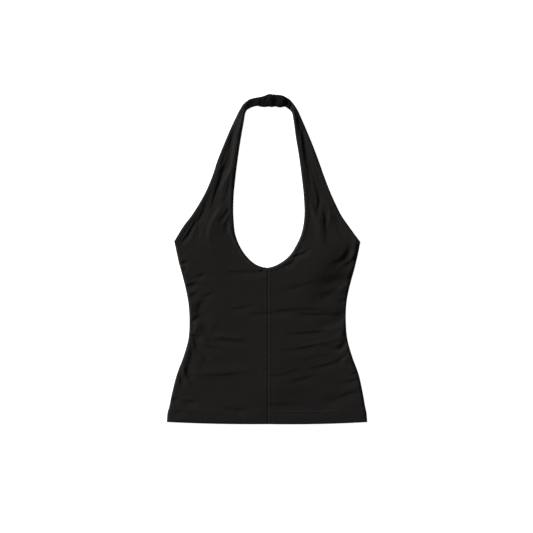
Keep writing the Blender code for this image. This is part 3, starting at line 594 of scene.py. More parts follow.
def pucker_relief(along, distance, pucker):
    """Short, uneven waves square to an edge that is along millimetres long at this place."""
    least, change, pace, start = SWELLING
    turn = 2.0 * math.pi * along / pucker.wave
    wander = WANDERING[0] * np.sin(WANDERING[1] * turn)
    uneven = (least + change * np.sin(pace * turn + start)) * np.sin(turn + wander)
    return pucker.lift * uneven * groove(distance - pucker.place, pucker.reach)


def sewn_relief(x, y, near):
    """What the centre seam and the rows of stitches do to the cloth."""
    away = np.where(y < NECKLINE_FOOT_Y, np.abs(x - CENTRE_X), PAST_THE_SEAM)
    raised = SEAM_SHOULDER * groove(away - SEAM_SHOULDER_PLACE, SEAM_DIP_REACH)
    seam = raised - SEAM_DIP * groove(away, SEAM_DIP_REACH)
    rows = groove(away - TOPSTITCH_IN, STITCH_DIP_REACH)
    rows = rows + sum(groove(near.hem - height, STITCH_DIP_REACH) for height in HEM_STITCHES)
    puckers = pucker_relief(y, near.side, SIDE_PUCKER)
    puckers = puckers + pucker_relief(near.bound_place, near.bound, BOUND_PUCKER)
    return seam - STITCH_DIP * rows + puckers + pucker_relief(x, near.hem, HEM_PUCKER)


print("the centre seam ends at y", NECKLINE_FOOT_Y, "mm, and the hem is stitched at", HEM_STITCHES, "mm")

# %% The height of the front at any place
CLOTH = 1.0           # one laid layer of the knit
RIM_CLOTH = 0.45      # what is left of it at a folded rim
LOFT = 1.4            # how far loosely laid cloth stands off what is under it
SIDE_ROLL = 6.0       # the cloth rolls over to the back at the side seams, over this distance
HEM_ROUND = 2.2       # and at the hem's fold over this one
FOLD_END_REACH = 6.0  # folds die away over this distance at the side seams and the hem
BOUND_LIFT = 0.4      # a bound edge stands on the binding under it, with this share of the loft
BOUND_REACH = 3.0
STRAP_END_REACH = 16.0
HEM_STEP = 0.3        # extra thickness of the turned hem, up to its upper row of stitches
HEM_STEP_REACH = 4.0
FLOOR_BEND = 0.3      # softness of the bend where a trough reaches what the cloth lies on


def soft_floor(value):
    """value, kept above 0 with a soft bend instead of a hard stop."""
    return FLOOR_BEND * np.logaddexp(0.0, value / FLOOR_BEND)


def held_down(risen):
    """Share of its height that the front keeps by a sewn edge. risen is 0 at the edge and 1 clear of it."""
    return BOUND_LIFT + (1.0 - BOUND_LIFT) * risen


def hem_layer(near):
    """1 where the hem is turned up under the front, and 0 above it."""
    return 1.0 - smooth_step(near.hem - HEM_STITCHES[1], 0.0, HEM_STEP_REACH)


def front_top(side, x, y, near=None):
    """Upper side of a front panel, in millimetres over the table."""
    near = near or edge_distances(side, x, y)
    relief = sum(fold_relief(x, y, fold) for fold in FOLDS)
    relief = relief + sum(swell_relief(x, y, swell) for swell in SWELLS)
    fade = smooth_step(np.minimum(near.side, near.hem), -FOLD_END_REACH, FOLD_END_REACH)
    rise = soft_floor(LOFT + relief * fade) * shoulder(near.side, SIDE_ROLL)
    rise = rise * held_down(shoulder(near.bound, BOUND_REACH))
    rise = rise * held_down(smooth_step(near.strap_end, 0.0, STRAP_END_REACH))
    rise = rise + sewn_relief(x, y, near) + HEM_STEP * hem_layer(near)
    rim = shoulder(near.side, BACK_INSET) * shoulder(near.hem, HEM_ROUND)
    return ground_under_front(x, y, near) + RIM_CLOTH + (CLOTH - RIM_CLOTH + rise) * rim


bust_x, bust_y = np.array([-100.0]), np.array([20.0])
print("the left bust stands", round(float(front_top("left", bust_x, bust_y)[0]), 1), "mm over the table")

# %% [markdown]
# ## The front panels
#
# A front panel is one layer of knit from the hem to the end of its strap. A flat mesh with a Displace
# modifier could carry the folds, but their heights are already known at every place. So the panel is a
# grid of points that follows its own edges, with closer rows at the hem and closer columns at the edges
# and along the rows of stitches, where the cloth bends most. The upper side takes the heights. The
# lower side lies one cloth below it, and nowhere lower than what the cloth rests on.

# %% Rows and columns of a panel
OUTER_STEPS = (0.0, 0.3, 0.7, 1.2, 1.8, 2.5, 3.3, 4.2, 5.2, 6.4, 7.8, 9.4)
INNER_STEPS = (0.0, 0.3, 0.7, 1.2, 1.8, 2.6, 3.5, 4.5, 5.3, 5.8, 6.2, 6.6, 7.0, 7.5, 8.3, 9.4)
EDGE_SHARE = 0.36     # most of a narrow strap's width that the close columns of one edge take
MIDDLE_COLUMNS = 104
HEM_FIRST_STEPS = (0.0, 0.3, 0.7, 1.2, 1.8, 2.6, 4.0)
HEM_WIDE_STEP = 2.0
HEM_TOP = 30.0
HEM_CLEARANCE = 1.6   # wide rows keep this clear of a row of stitches
STITCH_STEPS = (-1.2, -0.7, -0.35, 0.0, 0.35, 0.7, 1.2)


def hem_heights():
    wide = np.arange(HEM_FIRST_STEPS[-1], HEM_TOP, HEM_WIDE_STEP)
    clear = [height for height in wide if min(abs(height - row) for row in HEM_STITCHES) > HEM_CLEARANCE]
    close = [row + step for row in HEM_STITCHES for step in STITCH_STEPS]
    return np.array(sorted({*HEM_FIRST_STEPS, *clear, *close}))


def panel_rows(edges):
    """Where the rows of the mesh lie, counted in rows of the panel's edges."""
    risen = edges.outer[:, 1] - edges.outer[0, 1]
    heights = hem_heights()
    first_free = int(np.searchsorted(risen, heights[-1] + 1.0))
    count = np.arange(len(risen))
    return np.concatenate([np.interp(heights, risen[:first_free], count[:first_free]), count[first_free:]])


def at_rows(values, rows):
    count = np.arange(len(values))
    if values.ndim == 1:
        return np.interp(rows, count, values)
    return np.column_stack([np.interp(rows, count, column) for column in values.T])


def panel_places(side):
    """x and y of the points of a panel's grid, from its outer to its inner edge in each row."""
    edges = EDGES[side]
    rows = panel_rows(edges)
    outer, inner, bow = at_rows(edges.outer, rows), at_rows(edges.inner, rows), at_rows(edges.bow, rows)
    inner[rows <= NECKLINE_ROW, 0] -= math.copysign(SEAM_GAP / 2, CENTRE_X - outer[0, 0])
    length = np.linalg.norm(inner - outer, axis=1)[:, None]
    squeeze = np.minimum(1.0, EDGE_SHARE * length / OUTER_STEPS[-1])
    first, last = np.array(OUTER_STEPS) * squeeze, np.array(INNER_STEPS) * squeeze
    share = np.linspace(0.0, 1.0, MIDDLE_COLUMNS + 2)[1:-1]
    middle = first[:, -1:] + (length - first[:, -1:] - last[:, -1:]) * share
    share = np.hstack([first, middle, length - last[:, ::-1]]) / length
    x = outer[:, :1] + (inner - outer)[:, :1] * share
    y = outer[:, 1:] + (inner - outer)[:, 1:] * share + bow[:, None] * share * (1.0 - share)
    return (x, y) if side == "left" else (x[:, ::-1], y[:, ::-1])


print("mesh of a front panel, rows and columns:", panel_places("left")[0].shape)

# %% A wall of cloth between an upper and a lower grid of heights
SHARP_ANGLE = math.radians(60.0)  # a sharper fold is shaded as an edge


def plain_object(name, points, faces):
    """points are millimetres. The object stays at the origin, with its place in its mesh."""
    mesh = bpy.data.meshes.new(name)
    mesh.from_pydata((points * MM).tolist(), [], faces)
    mesh.shade_smooth()
    obj = bpy.data.objects.new(name, mesh)
    bpy.context.scene.collection.objects.link(obj)
    return obj


def cloth_object(name, points, faces):
    """The same, with its sharp folds kept sharp."""
    obj = plain_object(name, points, faces.tolist())
    obj.data.set_sharp_from_angle(angle=SHARP_ANGLE)
    return obj


def cell_corners(grid):
    """The values at the four corners of each cell of a grid, in the order of a face's corners."""
    return np.stack([grid[:-1, :-1], grid[:-1, 1:], grid[1:, 1:], grid[1:, :-1]], axis=-1).reshape(-1, 4)


def wall_of_cloth(name, x, y, top, bottom):
    """A closed thin shell. Columns run towards +X and rows towards +Y, so its faces point out."""
    index = np.arange(x.size).reshape(x.shape)
    rim = np.concatenate([index[0, :-1], index[:-1, -1], index[-1, :0:-1], index[:0:-1, 0]])
    after = np.roll(rim, -1)
    sides = np.stack([rim, rim + index.size, after + index.size, after], axis=-1)
    upper = cell_corners(index)
    points = np.concatenate([np.dstack([x, y, height]).reshape(-1, 3) for height in (top, bottom)])
    return cloth_object(name, points, np.concatenate([upper, upper[:, ::-1] + index.size, sides]))


# %% Both front panels
fronts = {}
for side in EDGES:
    x, y = panel_places(side)
    near = edge_distances(side, x, y)
    top = front_top(side, x, y, near)
    thickness = CLOTH + HEM_STEP * hem_layer(near)
    bottom = np.maximum(ground_under_front(x, y, near), top - thickness)
    piece = wall_of_cloth(f"front_{side}_cloth", x, y, top, bottom)
    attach(piece, "root")
    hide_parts(f"front_{side}")
    fronts[side] = piece

# %% [markdown]
# ## The back
#
# Only the front shows in a flat lay, but the back carries it. It is one plain layer on the table, cut
# low, and its side edges lie a little inside the front, which rolls down past them.

# %% The back panel
BACK_ROWS = 60
BACK_COLUMNS = 80
BACK_RIM = 0.6        # the back is this much thinner at its edges


def back_places():
    sides = [EDGES[side].outer[: ARMHOLE_ROW + 1] for side in ("left", "right")]
    left, right = [
        np.interp(np.linspace(path[0, 1], BACK_SIDE_Y, BACK_ROWS), path[:, 1], path[:, 0]) for path in sides
    ]
    left, right = left + BACK_INSET, right - BACK_INSET
    x = left[:, None] + (right - left)[:, None] * np.linspace(0.0, 1.0, BACK_COLUMNS)
    middle_y = EDGES["left"].inner[0, 1]
    hem_y = middle_y + (EDGES["left"].outer[0, 1] - middle_y) * (x / x[0, -1]) ** 2
    y = hem_y + (back_top_y(x) - hem_y) * np.linspace(0.0, 1.0, BACK_ROWS)[:, None]
    return x, y


x, y = back_places()
rim = np.zeros(x.shape)
rim[0], rim[-1], rim[:, 0], rim[:, -1] = 1.0, 1.0, 1.0, 1.0
height = BACK_CLOTH - BACK_RIM * rim
back = wall_of_cloth("back_cloth", x, y, height, 0.0 * height)
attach(back, "root")
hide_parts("back")

# %% [markdown]
# ## The bindings
#
# Each armhole and neckline edge is wrapped in a narrow doubled strip, which is stitched down near its
# inner edge. A strip could be extruded along a curve, but it has to follow every fold of the panel. So
# its section is a short table of places across the edge, and the strip takes its heights from the
# panel. The row at the stitches lies a little deeper, where the thread pulls the layers together.

# %% The section of a binding
BINDING_WIDTH = 8.0
BINDING_SHARE = 0.42      # most of a narrow strap that one binding may cover
BINDING_CLOTH = 0.3
BINDING_CLEARANCE = 0.02  # least gap between its underside and what the front rests on
ARMHOLE_END = (3.4, 11.0)   # the armhole binding's cut end: how far it runs in and down from the point
NECKLINE_END = (1.2, 8.4)   # the neckline binding's cut end, beside the centre seam
END_ROWS = 10             # close rows at a cut end
STRAP_TUCK = 2.4          # a binding stops this far short of the strap's end, under the neck band
Across = namedtuple("Across", "share over under")
# share of the width that a place lies in from the edge, and its height over the panel's upper side or
# under its lower side
BINDING_SECTION = (
    Across(1.00, 0.06, None),
    Across(0.985, 0.20, None),
    Across(0.95, 0.28, None),
    Across(0.89, 0.30, None),
    Across(0.84, 0.22, None),
    Across(0.80, 0.15, None),
    Across(0.76, 0.22, None),
    Across(0.70, 0.32, None),
    Across(0.58, 0.40, None),
    Across(0.44, 0.43, None),
    Across(0.30, 0.44, None),
    Across(0.17, 0.43, None),
    Across(0.08, 0.38, None),
    Across(0.02, 0.27, None),
    Across(-0.04, 0.08, None),
    Across(-0.06, -0.35, None),
    Across(-0.05, None, -0.25),
    Across(-0.01, None, 0.1),
    Across(0.06, None, 0.32),
    Across(0.3, None, 0.36),
    Across(0.6, None, 0.36),
)
print(len(BINDING_SECTION), "places across a binding")


# %% How a binding runs along its edge
def into_panel(edge, inwards, width, end):
    """A binding's way into its panel at each row: along its cut end first, then square to the edge."""
    travel = np.gradient(edge, axis=0)
    normal = np.column_stack([-travel[:, 1], travel[:, 0]]) / np.linalg.norm(travel, axis=1)[:, None]
    normal *= -math.copysign(1.0, inwards[0, 0])
    lead = normal * width[:, None]
    lead[0] = math.copysign(end[0], inwards[0, 0]), -end[1]
    return lead


def binding_rows(side, edge_name):
    """The bound edge and its way into the panel, with close rows at the cut end."""
    edges = EDGES[side]
    if edge_name == "armhole":
        first, edge, other, end = ARMHOLE_ROW, edges.outer, edges.inner, ARMHOLE_END
    else:
        first, edge, other, end = NECKLINE_ROW, edges.inner, edges.outer, NECKLINE_END
    last = len(edge) - np.count_nonzero(np.linalg.norm(edge - edge[-1], axis=1) < STRAP_TUCK)
    edge, inwards = edge[first:last], (other - edge)[first:last]
    width = np.minimum(BINDING_WIDTH, BINDING_SHARE * np.linalg.norm(inwards, axis=1))
    lead = into_panel(edge, inwards, width, end)
    rows = np.concatenate([np.linspace(0.0, 1.0, END_ROWS)[:-1], np.arange(1, len(lead))])
    return at_rows(edge, rows), at_rows(lead, rows)


def binding_height(side, x, y, across):
    """Height of the binding's outer face where its section says so, at places x, y."""
    near = edge_distances(side, x, y)
    top = front_top(side, x, y, near)
    if across.under is None:
        return top + across.over
    return np.maximum(top - CLOTH - across.under, ground_under_front(x, y, near) + BINDING_CLEARANCE)


# %% A strip of cloth from a grid of points
def strip_uv(mesh, across, along):
    """A UV map in millimetres: u across a strip and v along it, from one value a column and a row."""
    u, v = np.broadcast_arrays(across, along[:, None])
    corners = np.stack([cell_corners(u), cell_corners(v)], axis=-1)
    mesh.uv_layers.new(name="strip").data.foreach_set("uv", corners.reshape(-1).astype(np.float32))


def running_length(steps):
    return np.concatenate([[0.0], np.cumsum(steps)])


def thicken(obj, thickness):
    """Solidify inwards, applied, so that a surface becomes a closed wall."""
    solidify = obj.modifiers.new("cloth", "SOLIDIFY")
    solidify.thickness = thickness * MM
    solidify.offset = -1.0
    solidify.use_even_offset = False
    bpy.context.view_layer.objects.active = obj
    bpy.ops.object.modifier_apply(modifier=solidify.name)


def strip_of_cloth(name, grid, along_mm, thickness, closed=False):
    """A strip from its grid of points, rows along it and columns across or, where it is closed, round it.
    Its UV map is in millimetres, and it is thickened inwards. The width follows the piece."""
    index = np.arange(grid[:, :, 0].size).reshape(grid.shape[:2])
    if closed:
        index = np.hstack([index, index[:, :1]])
    points = grid.reshape(-1, 3)
    piece = cloth_object(name, points, cell_corners(index))
    across_mm = running_length(np.linalg.norm(np.diff(points[index], axis=1), axis=2).mean(axis=0))
    strip_uv(piece.data, across_mm, along_mm)
    deselect_all()
    thicken(piece, thickness)
    return piece, across_mm[-1]


# %% All four bindings
BINDING_JOBS = [(side, edge_name) for edge_name in ("armhole", "neckline") for side in EDGES]
bindings = {}
for side, edge_name in BINDING_JOBS:
    edge, lead = binding_rows(side, edge_name)
    columns = []
    for across in BINDING_SECTION:
        place = edge + lead * across.share
        columns.append(np.column_stack([place, binding_height(side, place[:, 0], place[:, 1], across)]))
    grid = np.stack(columns, axis=1)
    if (side == "left") == (edge_name == "armhole"):
        grid = grid[:, ::-1]  # so that the faces point out on both sides
    along_mm = running_length(np.linalg.norm(np.diff(edge, axis=0), axis=1))
    piece, width = strip_of_cloth(f"{edge_name}_binding_{side}_cloth", grid, along_mm, BINDING_CLOTH)
    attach(piece, "root")
    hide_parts(f"{edge_name}_binding_{side}")
    bindings[side, edge_name] = piece

# %% [markdown]
# ## The neck band
#
# The band is a tube of jersey that is gathered over a short elastic, so its cloth stands in close,
# uneven ridges across the band. It is a loft through sections along the band, and each gather is a
# ridge or a trough in it with its own height, width and slant. The tube reaches a little over both
# strap ends, which are sewn into it.

# %% Sections of the neck band
BandSection = namedtuple("BandSection", "low_x low_y high_x high_y height")
BAND_SECTIONS = (
    BandSection(-34.2, 302.6, -38.6, 318.4, 3.6),
    BandSection(-30.2, 304.0, -35.2, 320.4, 3.8),
    BandSection(-20.2, 306.8, -22.0, 323.8, 4.1),
    BandSection(-10.0, 304.8, -11.0, 325.8, 4.3),
    BandSection(-4.0, 304.6, -4.6, 327.8, 4.5),
    BandSection(4.0, 305.4, 3.0, 330.6, 4.7),
    BandSection(10.5, 304.4, 9.5, 330.2, 4.9),
    BandSection(16.0, 305.6, 17.0, 330.0, 4.8),
    BandSection(24.2, 303.8, 25.0, 329.2, 4.7),
    BandSection(29.5, 304.2, 31.0, 327.9, 4.4),
    BandSection(35.0, 305.2, 38.0, 324.8, 4.1),
    BandSection(39.6, 303.6, 44.4, 321.0, 3.8),
    BandSection(42.8, 301.2, 47.8, 317.8, 3.6),
)
print("the neck band's sections run from x", BAND_SECTIONS[0].low_x, "to", BAND_SECTIONS[-1].low_x, "mm")

# %% Gathers of the neck band
# x of its middle, height, half width, how far its crest slants and bows along the band, and how far
# across the band it is highest: -1 at the lower edge and 1 at the upper one
Gather = namedtuple("Gather", "at lift spread slant bow middle")
GATHERS = (
    Gather(-42.0, 0.6, 4.0, 3.0, 0.6, 0.0),
    Gather(-36.0, -0.3, 2.0, 3.0, 0.6, 0.4),
    Gather(-29.5, -1.2, 4.5, 3.0, 0.8, -0.2),
    Gather(-24.0, 0.3, 1.8, -2.0, -0.6, 0.4),
    Gather(-18.0, 0.8, 3.6, 3.0, 0.9, 0.1),
    Gather(-12.5, -0.4, 2.0, -2.5, 0.6, -0.4),
    Gather(-7.5, 0.3, 1.8, 4.0, 0.6, 0.5),
    Gather(-2.5, -0.6, 3.0, 2.5, -0.5, 0.2),
    Gather(6.0, 1.2, 4.2, 3.0, 0.9, 0.6),
    Gather(11.5, -0.3, 1.6, -1.5, 0.5, -0.5),
    Gather(18.0, -1.4, 4.6, 1.5, 0.8, -0.1),
    Gather(24.5, 0.25, 1.6, -2.0, 0.5, 0.6),
    Gather(31.0, 1.5, 4.4, 3.0, 0.8, 0.2),
    Gather(35.5, -0.3, 1.6, -1.0, 0.5, -0.6),
    Gather(41.0, -1.0, 3.4, 3.0, 0.7, 0.1),
    Gather(45.0, 0.3, 1.6, 2.8, 0.5, -0.3),
)
print(len(GATHERS), "gathers")

# %% The form of the neck band
BAND_ROWS = 14            # rows of mesh between two sections
BAND_COLUMNS = 40         # columns round the tube
BAND_CLOTH = 0.6
BAND_SQUARENESS = 0.85    # below 1 the section is fuller at its edges than an ellipse
BAND_FLOOR = 0.05         # the band's underside lies this far over the table
GATHER_REACH = 0.75       # how far a gather runs across the band, 1 being from its middle to its edge
GATHER_SCALLOP = 0.6      # share of a gather's lift that shows in the band's outline
GATHER_UNDER = 0.12       # and on its flat underside


def rounded(value):
    """A sine or cosine, made squarer, for a section between an ellipse and a box."""
    return np.sign(value) * np.abs(value) ** BAND_SQUARENESS


def band_grid():
    """The points of the band's outer side, rows along the band and columns round it."""
    rows = [BAND_ROWS] * (len(BAND_SECTIONS) - 1) + [0]
    plain = [False] * len(BAND_SECTIONS)
    low = smooth_path([(s.low_x, s.low_y) for s in BAND_SECTIONS], plain, rows)
    high = smooth_path([(s.high_x, s.high_y) for s in BAND_SECTIONS], plain, rows)
    height = smooth_path([(s.low_x, s.height) for s in BAND_SECTIONS], plain, rows)[:, 1:]
    turn = np.linspace(1.5 * math.pi, -0.5 * math.pi, BAND_COLUMNS, endpoint=False)
    across, up = -rounded(np.cos(turn)), rounded(np.sin(turn))
    share = 0.5 + 0.5 * across
    middle_x = low[:, :1] + (high - low)[:, :1] * share
    gathers = 0.0
    for gather in GATHERS:
        crest_x = gather.at + gather.slant * (share - 0.5) + gather.bow * (1.0 - across**2)
        crest = groove(middle_x - crest_x, gather.spread)
        gathers = gathers + gather.lift * crest * groove(across - gather.middle, GATHER_REACH)
    share = share + across * GATHER_SCALLOP * gathers / np.linalg.norm(high - low, axis=1)[:, None]
    x = low[:, :1] + (high - low)[:, :1] * share
    y = low[:, 1:] + (high - low)[:, 1:] * share
    full = height / 2.0
    raised = full + (full + gathers) * up
    flat = full + (full - BAND_FLOOR - GATHER_UNDER * (1.0 + gathers)) * up
    return np.dstack([x, y, np.where(up > 0.0, raised, flat)])


grid = band_grid()
along_mm = running_length(np.linalg.norm(np.diff(grid, axis=0), axis=2).mean(axis=1))
band, girth = strip_of_cloth("neck_band_cloth", grid, along_mm, BAND_CLOTH, closed=True)
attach(band, "root")
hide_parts("neck_band")

# %% [markdown]
# ## What the centre seam hides
#
# Under the seam the two panels' raw edges are pressed open and stitched down on both sides. A flat
# strip under the slit stands for them, so the slit is dark and shut as on the real top.

# %% Seam allowance under the centre seam
ALLOWANCE_WIDTH = 16.0
ALLOWANCE_CLOTH = 0.4
ALLOWANCE_GAP = 0.12      # between it and the cloth of the fronts
ALLOWANCE_ENDS = (1.0, 0.6)   # it ends this far over the hem's fold and under the neckline
ALLOWANCE_ROWS = 150
ALLOWANCE_COLUMNS = 9

seam_ends = (EDGES["left"].inner[0, 1] + ALLOWANCE_ENDS[0], NECKLINE_FOOT_Y - ALLOWANCE_ENDS[1])
seam_y = np.linspace(*seam_ends, ALLOWANCE_ROWS)
seam_x = CENTRE_X + ALLOWANCE_WIDTH * np.linspace(-0.5, 0.5, ALLOWANCE_COLUMNS)
x, y = np.meshgrid(seam_x, seam_y)
on_seam = front_top("left", np.full(seam_y.shape, CENTRE_X), seam_y)
height = np.broadcast_to((on_seam - CLOTH - HEM_STEP * 0.5 - ALLOWANCE_GAP)[:, None], x.shape)
allowance = wall_of_cloth("centre_seam_allowance", x, y, height, height - ALLOWANCE_CLOTH)
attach(allowance, "root")

# %% [markdown]
# ## Stitches
#
# All stitching is in black thread: a row on each side of the centre seam, a pair of rows along the hem
# and one row along each binding. One stitch is modelled from a thin cylinder, whose ends are drawn out
# and dip into the cloth. Every row then repeats it at an even pitch, a little unevenly as a machine does
# on stretchy cloth, and each row becomes one joined mesh.

# %% One stitch
THREAD_RADIUS = 0.2
STITCH_PITCH = 3.0
STITCH_MIDDLE = 1.5       # straight part of a stitch
STITCH_END = 0.42         # how far each end is drawn out
STITCH_SINK = 0.17        # and how far it dips
END_TAPER = 0.55
THREAD_SIDES = 6
FACES_THE_WAY = 0.9       # a face with more than this much of its normal along the thread is its end


def model_stitch():
    deselect_all()
    bpy.ops.mesh.primitive_cylinder_add(
        vertices=THREAD_SIDES,
        radius=THREAD_RADIUS * MM,
        depth=STITCH_MIDDLE * MM,
        rotation=(0.0, math.pi / 2, 0.0),
    )
    bpy.ops.object.transform_apply(location=False, rotation=True, scale=False)
    stitch = bpy.context.active_object
    bpy.ops.object.mode_set(mode="EDIT")
    bpy.ops.mesh.select_mode(type="FACE")
    for way in (1.0, -1.0):
        bpy.ops.object.mode_set(mode="OBJECT")
        for face in stitch.data.polygons:
            face.select = face.normal.x * way > FACES_THE_WAY
        bpy.ops.object.mode_set(mode="EDIT")
        bpy.ops.mesh.extrude_region_move(
            TRANSFORM_OT_translate={"value": (way * STITCH_END * MM, 0.0, -STITCH_SINK * MM)}
        )
        end = (way * (STITCH_MIDDLE / 2 + STITCH_END) * MM, 0.0, -STITCH_SINK * MM)
        bpy.ops.transform.resize(value=(1.0, END_TAPER, END_TAPER), center_override=end)
    bpy.ops.object.mode_set(mode="OBJECT")
    points = np.array([vertex.co for vertex in stitch.data.vertices]) / MM
    faces = [np.array(face.vertices) for face in stitch.data.polygons]
    bpy.data.objects.remove(stitch, do_unlink=True)
    return points, faces


stitch_points, stitch_faces = model_stitch()
print("one stitch:", len(stitch_points), "points,", round(float(np.ptp(stitch_points[:, 0])), 2), "mm long")

# %% Rows of stitches
TURN_JITTER = 0.04        # unevenness of each stitch's way
PLACE_JITTER = 0.06       # and of its place, in millimetres
stitch_random = np.random.default_rng(21)


def spaced_along(path, pitch):
    """Evenly spaced places on a path, and the path's direction at each."""
    passed = running_length(np.linalg.norm(np.diff(path, axis=0), axis=1))
    places = np.arange(pitch / 2, passed[-1] - pitch / 2, pitch)
    points, ahead = [
        np.column_stack([np.interp(spots, passed, column) for column in path.T])
        for spots in (places, places + pitch / 4)
    ]
    travel = ahead - points
    return points, travel / np.linalg.norm(travel, axis=1)[:, None]


def sew(name, paths):
    """One joined mesh with a stitch at every pitch along the paths."""
    points, faces, count = [], [], 0
    for path in paths:
        centres, travel = spaced_along(path, STITCH_PITCH)
        for centre, forward in zip(centres, travel):
            forward = forward + stitch_random.normal(0.0, TURN_JITTER, 3) * (1.0, 1.0, 0.0)
            side_way = np.cross((0.0, 0.0, 1.0), forward)
            side_way /= np.linalg.norm(side_way)
            up = np.cross(forward, side_way)
            shift = stitch_random.normal(0.0, PLACE_JITTER, 2) @ np.array([forward, side_way])
            points.append(centre + shift + stitch_points @ np.array([forward, side_way, up]))
            faces.extend((face + count).tolist() for face in stitch_faces)
            count += len(stitch_points)
    obj = plain_object(name, np.concatenate(points), faces)
    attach(obj, "root")
    print(name, "has", len(points), "stitches")
    return obj


# %% Where the rows run
STITCH_RISE = 0.1         # height of a thread's middle over the cloth
SEAM_ROW_ENDS = (4.0, 9.5)  # a seam's rows end this far over the hem and under the neckline
STITCHED_PLACE = 5        # the place in a binding's section that its stitches pull down
PATH_STEP = 1.0


def on_front(side, x, y):
    return np.column_stack([x, y, front_top(side, x, y) + STITCH_RISE])


def seam_row(side):
    edges = EDGES[side]
    lowest, highest = edges.inner[0, 1] + SEAM_ROW_ENDS[0], edges.inner[NECKLINE_ROW, 1] - SEAM_ROW_ENDS[1]
    y = np.arange(lowest, highest, PATH_STEP)
    away = math.copysign(TOPSTITCH_IN, edges.outer[0, 0])
    return on_front(side, np.full(y.shape, CENTRE_X + away), y)


def hem_row(side, height):
    edges = EDGES[side]
    outer_x = np.interp(height, edges.outer[:, 1] - edges.outer[0, 1], edges.outer[:, 0])
    share = np.linspace(0.0, 1.0, int(abs(outer_x - CENTRE_X) / PATH_STEP))
    x = outer_x + (CENTRE_X - outer_x) * share
    return on_front(side, x, hem_line(edges, share) + height)


def binding_row(side, edge_name):
    stitched = BINDING_SECTION[STITCHED_PLACE]
    edge, lead = binding_rows(side, edge_name)
    place = (edge + lead * stitched.share)[END_ROWS - 1 :]
    height = binding_height(side, place[:, 0], place[:, 1], stitched)
    return np.column_stack([place, height + STITCH_RISE])


stitching = [
    sew("centre_seam_stitches", [seam_row(side) for side in EDGES]),
    sew("hem_stitches", [hem_row(side, height) for side in EDGES for height in HEM_STITCHES]),
]
for side, edge_name in BINDING_JOBS:
    stitching.append(sew(f"{edge_name}_stitches_{side}", [binding_row(side, edge_name)]))

# %% [markdown]
# ## Shader maths
#
# The knit is drawn by formulas on the place in millimetres. Chains of Math nodes are hard to read when
# they are wired by hand, so a small class stands for a number in a shader, and Python's own operators
# add the nodes. Every other node comes from one method that takes its type, settings and sockets.

# %% Numbers in a shader, and the net of nodes that they live in
class Net:
    """The nodes of one material."""

    def __init__(self, name):
        self.material = bpy.data.materials.new(name)
        self.material.use_nodes = True
        self.tree = self.material.node_tree
        self.shader = self.tree.nodes["Principled BSDF"]

    def plug(self, place, value):
        """Put a value or a link on a socket."""
        value = value.socket if isinstance(value, Number) else value
        if isinstance(value, bpy.types.NodeSocket):
            self.tree.links.new(value, place)
        else:
            place.default_value = value

    def fill(self, node, **sockets):
        """Values or links on a node's sockets, whose names have _ for each space here."""
        for name, value in sockets.items():
            self.plug(node.inputs[name.replace("_", " ")], value)
        return node

    def node(self, kind, settings=None, **sockets):
        """A node of a type, with its settings first and then values or links on its sockets."""
        made = self.tree.nodes.new(kind)
        for name, value in (settings or {}).items():
            setattr(made, name, value)
        return self.fill(made, **sockets)

    def axes(self, vector, scale):
        """The three parts of a vector as numbers, times a scale."""
        parts = self.node("ShaderNodeSeparateXYZ", Vector=vector)
        return [Number(self, parts.outputs[axis]) * scale for axis in "XYZ"]

    def toned(self, color, tone):
        """A colour, lighter or darker by a number."""
        return self.node("ShaderNodeVectorMath", {"operation": "SCALE"}, Vector=color, Scale=tone).outputs[0]


class Number:
    """A number that varies over the surface. Arithmetic with it adds Math nodes."""

    def __init__(self, net, socket):
        self.net, self.socket = net, socket

    def math(self, operation, *values):
        made = self.net.node("ShaderNodeMath", {"operation": operation})
        for place, value in zip(made.inputs, values):
            self.net.plug(place, value)
        return Number(self.net, made.outputs[0])

    def __add__(self, other):
        return self.math("ADD", self, other)

    __radd__ = __add__

    def __sub__(self, other):
        return self.math("SUBTRACT", self, other)

    def __rsub__(self, other):
        return self.math("SUBTRACT", other, self)

    def __mul__(self, other):
        return self.math("MULTIPLY", self, other)

    __rmul__ = __mul__

    def __truediv__(self, other):
        return self.math("DIVIDE", self, other)

    def __pow__(self, other):
        return self.math("POWER", self, other)

    def __abs__(self):
        return self.math("ABSOLUTE", self)

    def sine(self):
        return self.math("SINE", self)

    def fraction(self):
        return self.math("FRACT", self)


# %% [markdown]
# ## Black jersey
#
# Jersey shows columns of small V shaped stitches on its right side. The columns are about 0.65 mm wide
# and the rows about 0.5 mm high. An image could be tiled, but formulas stay sharp at any distance: two
# slanted legs make each V, and a slow noise bends the columns as in cloth that has been worn. The fibre
# is soft and matt. A little sheen catches light that grazes it, and dye and wear leave faint streaks.
# The colour is also a little darker between the stitches and lighter on them: painted shade.

# %% Noises of the cloth
# size of the soft blots in millimetres, how much longer they are along the columns, and finer layers
Noise = namedtuple("Noise", "size stretch detail seed")
WANDER = Noise(14.0, 2.0, 1.0, 3.0)     # bends the columns of stitches
FUZZ = Noise(0.35, 1.0, 2.0, 11.0)      # fibres
CRUMPLE = Noise(9.0, 0.45, 4.0, 5.0)    # small dents of worn cloth
WRINKLE = Noise(45.0, 0.18, 2.0, 15.0)  # faint creases that run across the body
STREAK = Noise(1.8, 26.0, 2.0, 7.0)     # dye along the columns
BLOTCH = Noise(26.0, 0.8, 2.0, 9.0)     # wear
NOISE_ROUGHNESS = 0.55                  # strength of each finer layer


def noise(net, across, along, kind):
    """A number about 0 that varies softly over the cloth."""
    along = along / (kind.size * kind.stretch)
    vector = net.node("ShaderNodeCombineXYZ", X=across / kind.size, Y=along, Z=kind.seed).outputs[0]
    made = net.node(
        "ShaderNodeTexNoise", Vector=vector, Scale=1.0, Detail=kind.detail, Roughness=NOISE_ROUGHNESS
    )
    return Number(net, made.outputs["Factor" if "Factor" in made.outputs else "Fac"]) - 0.5


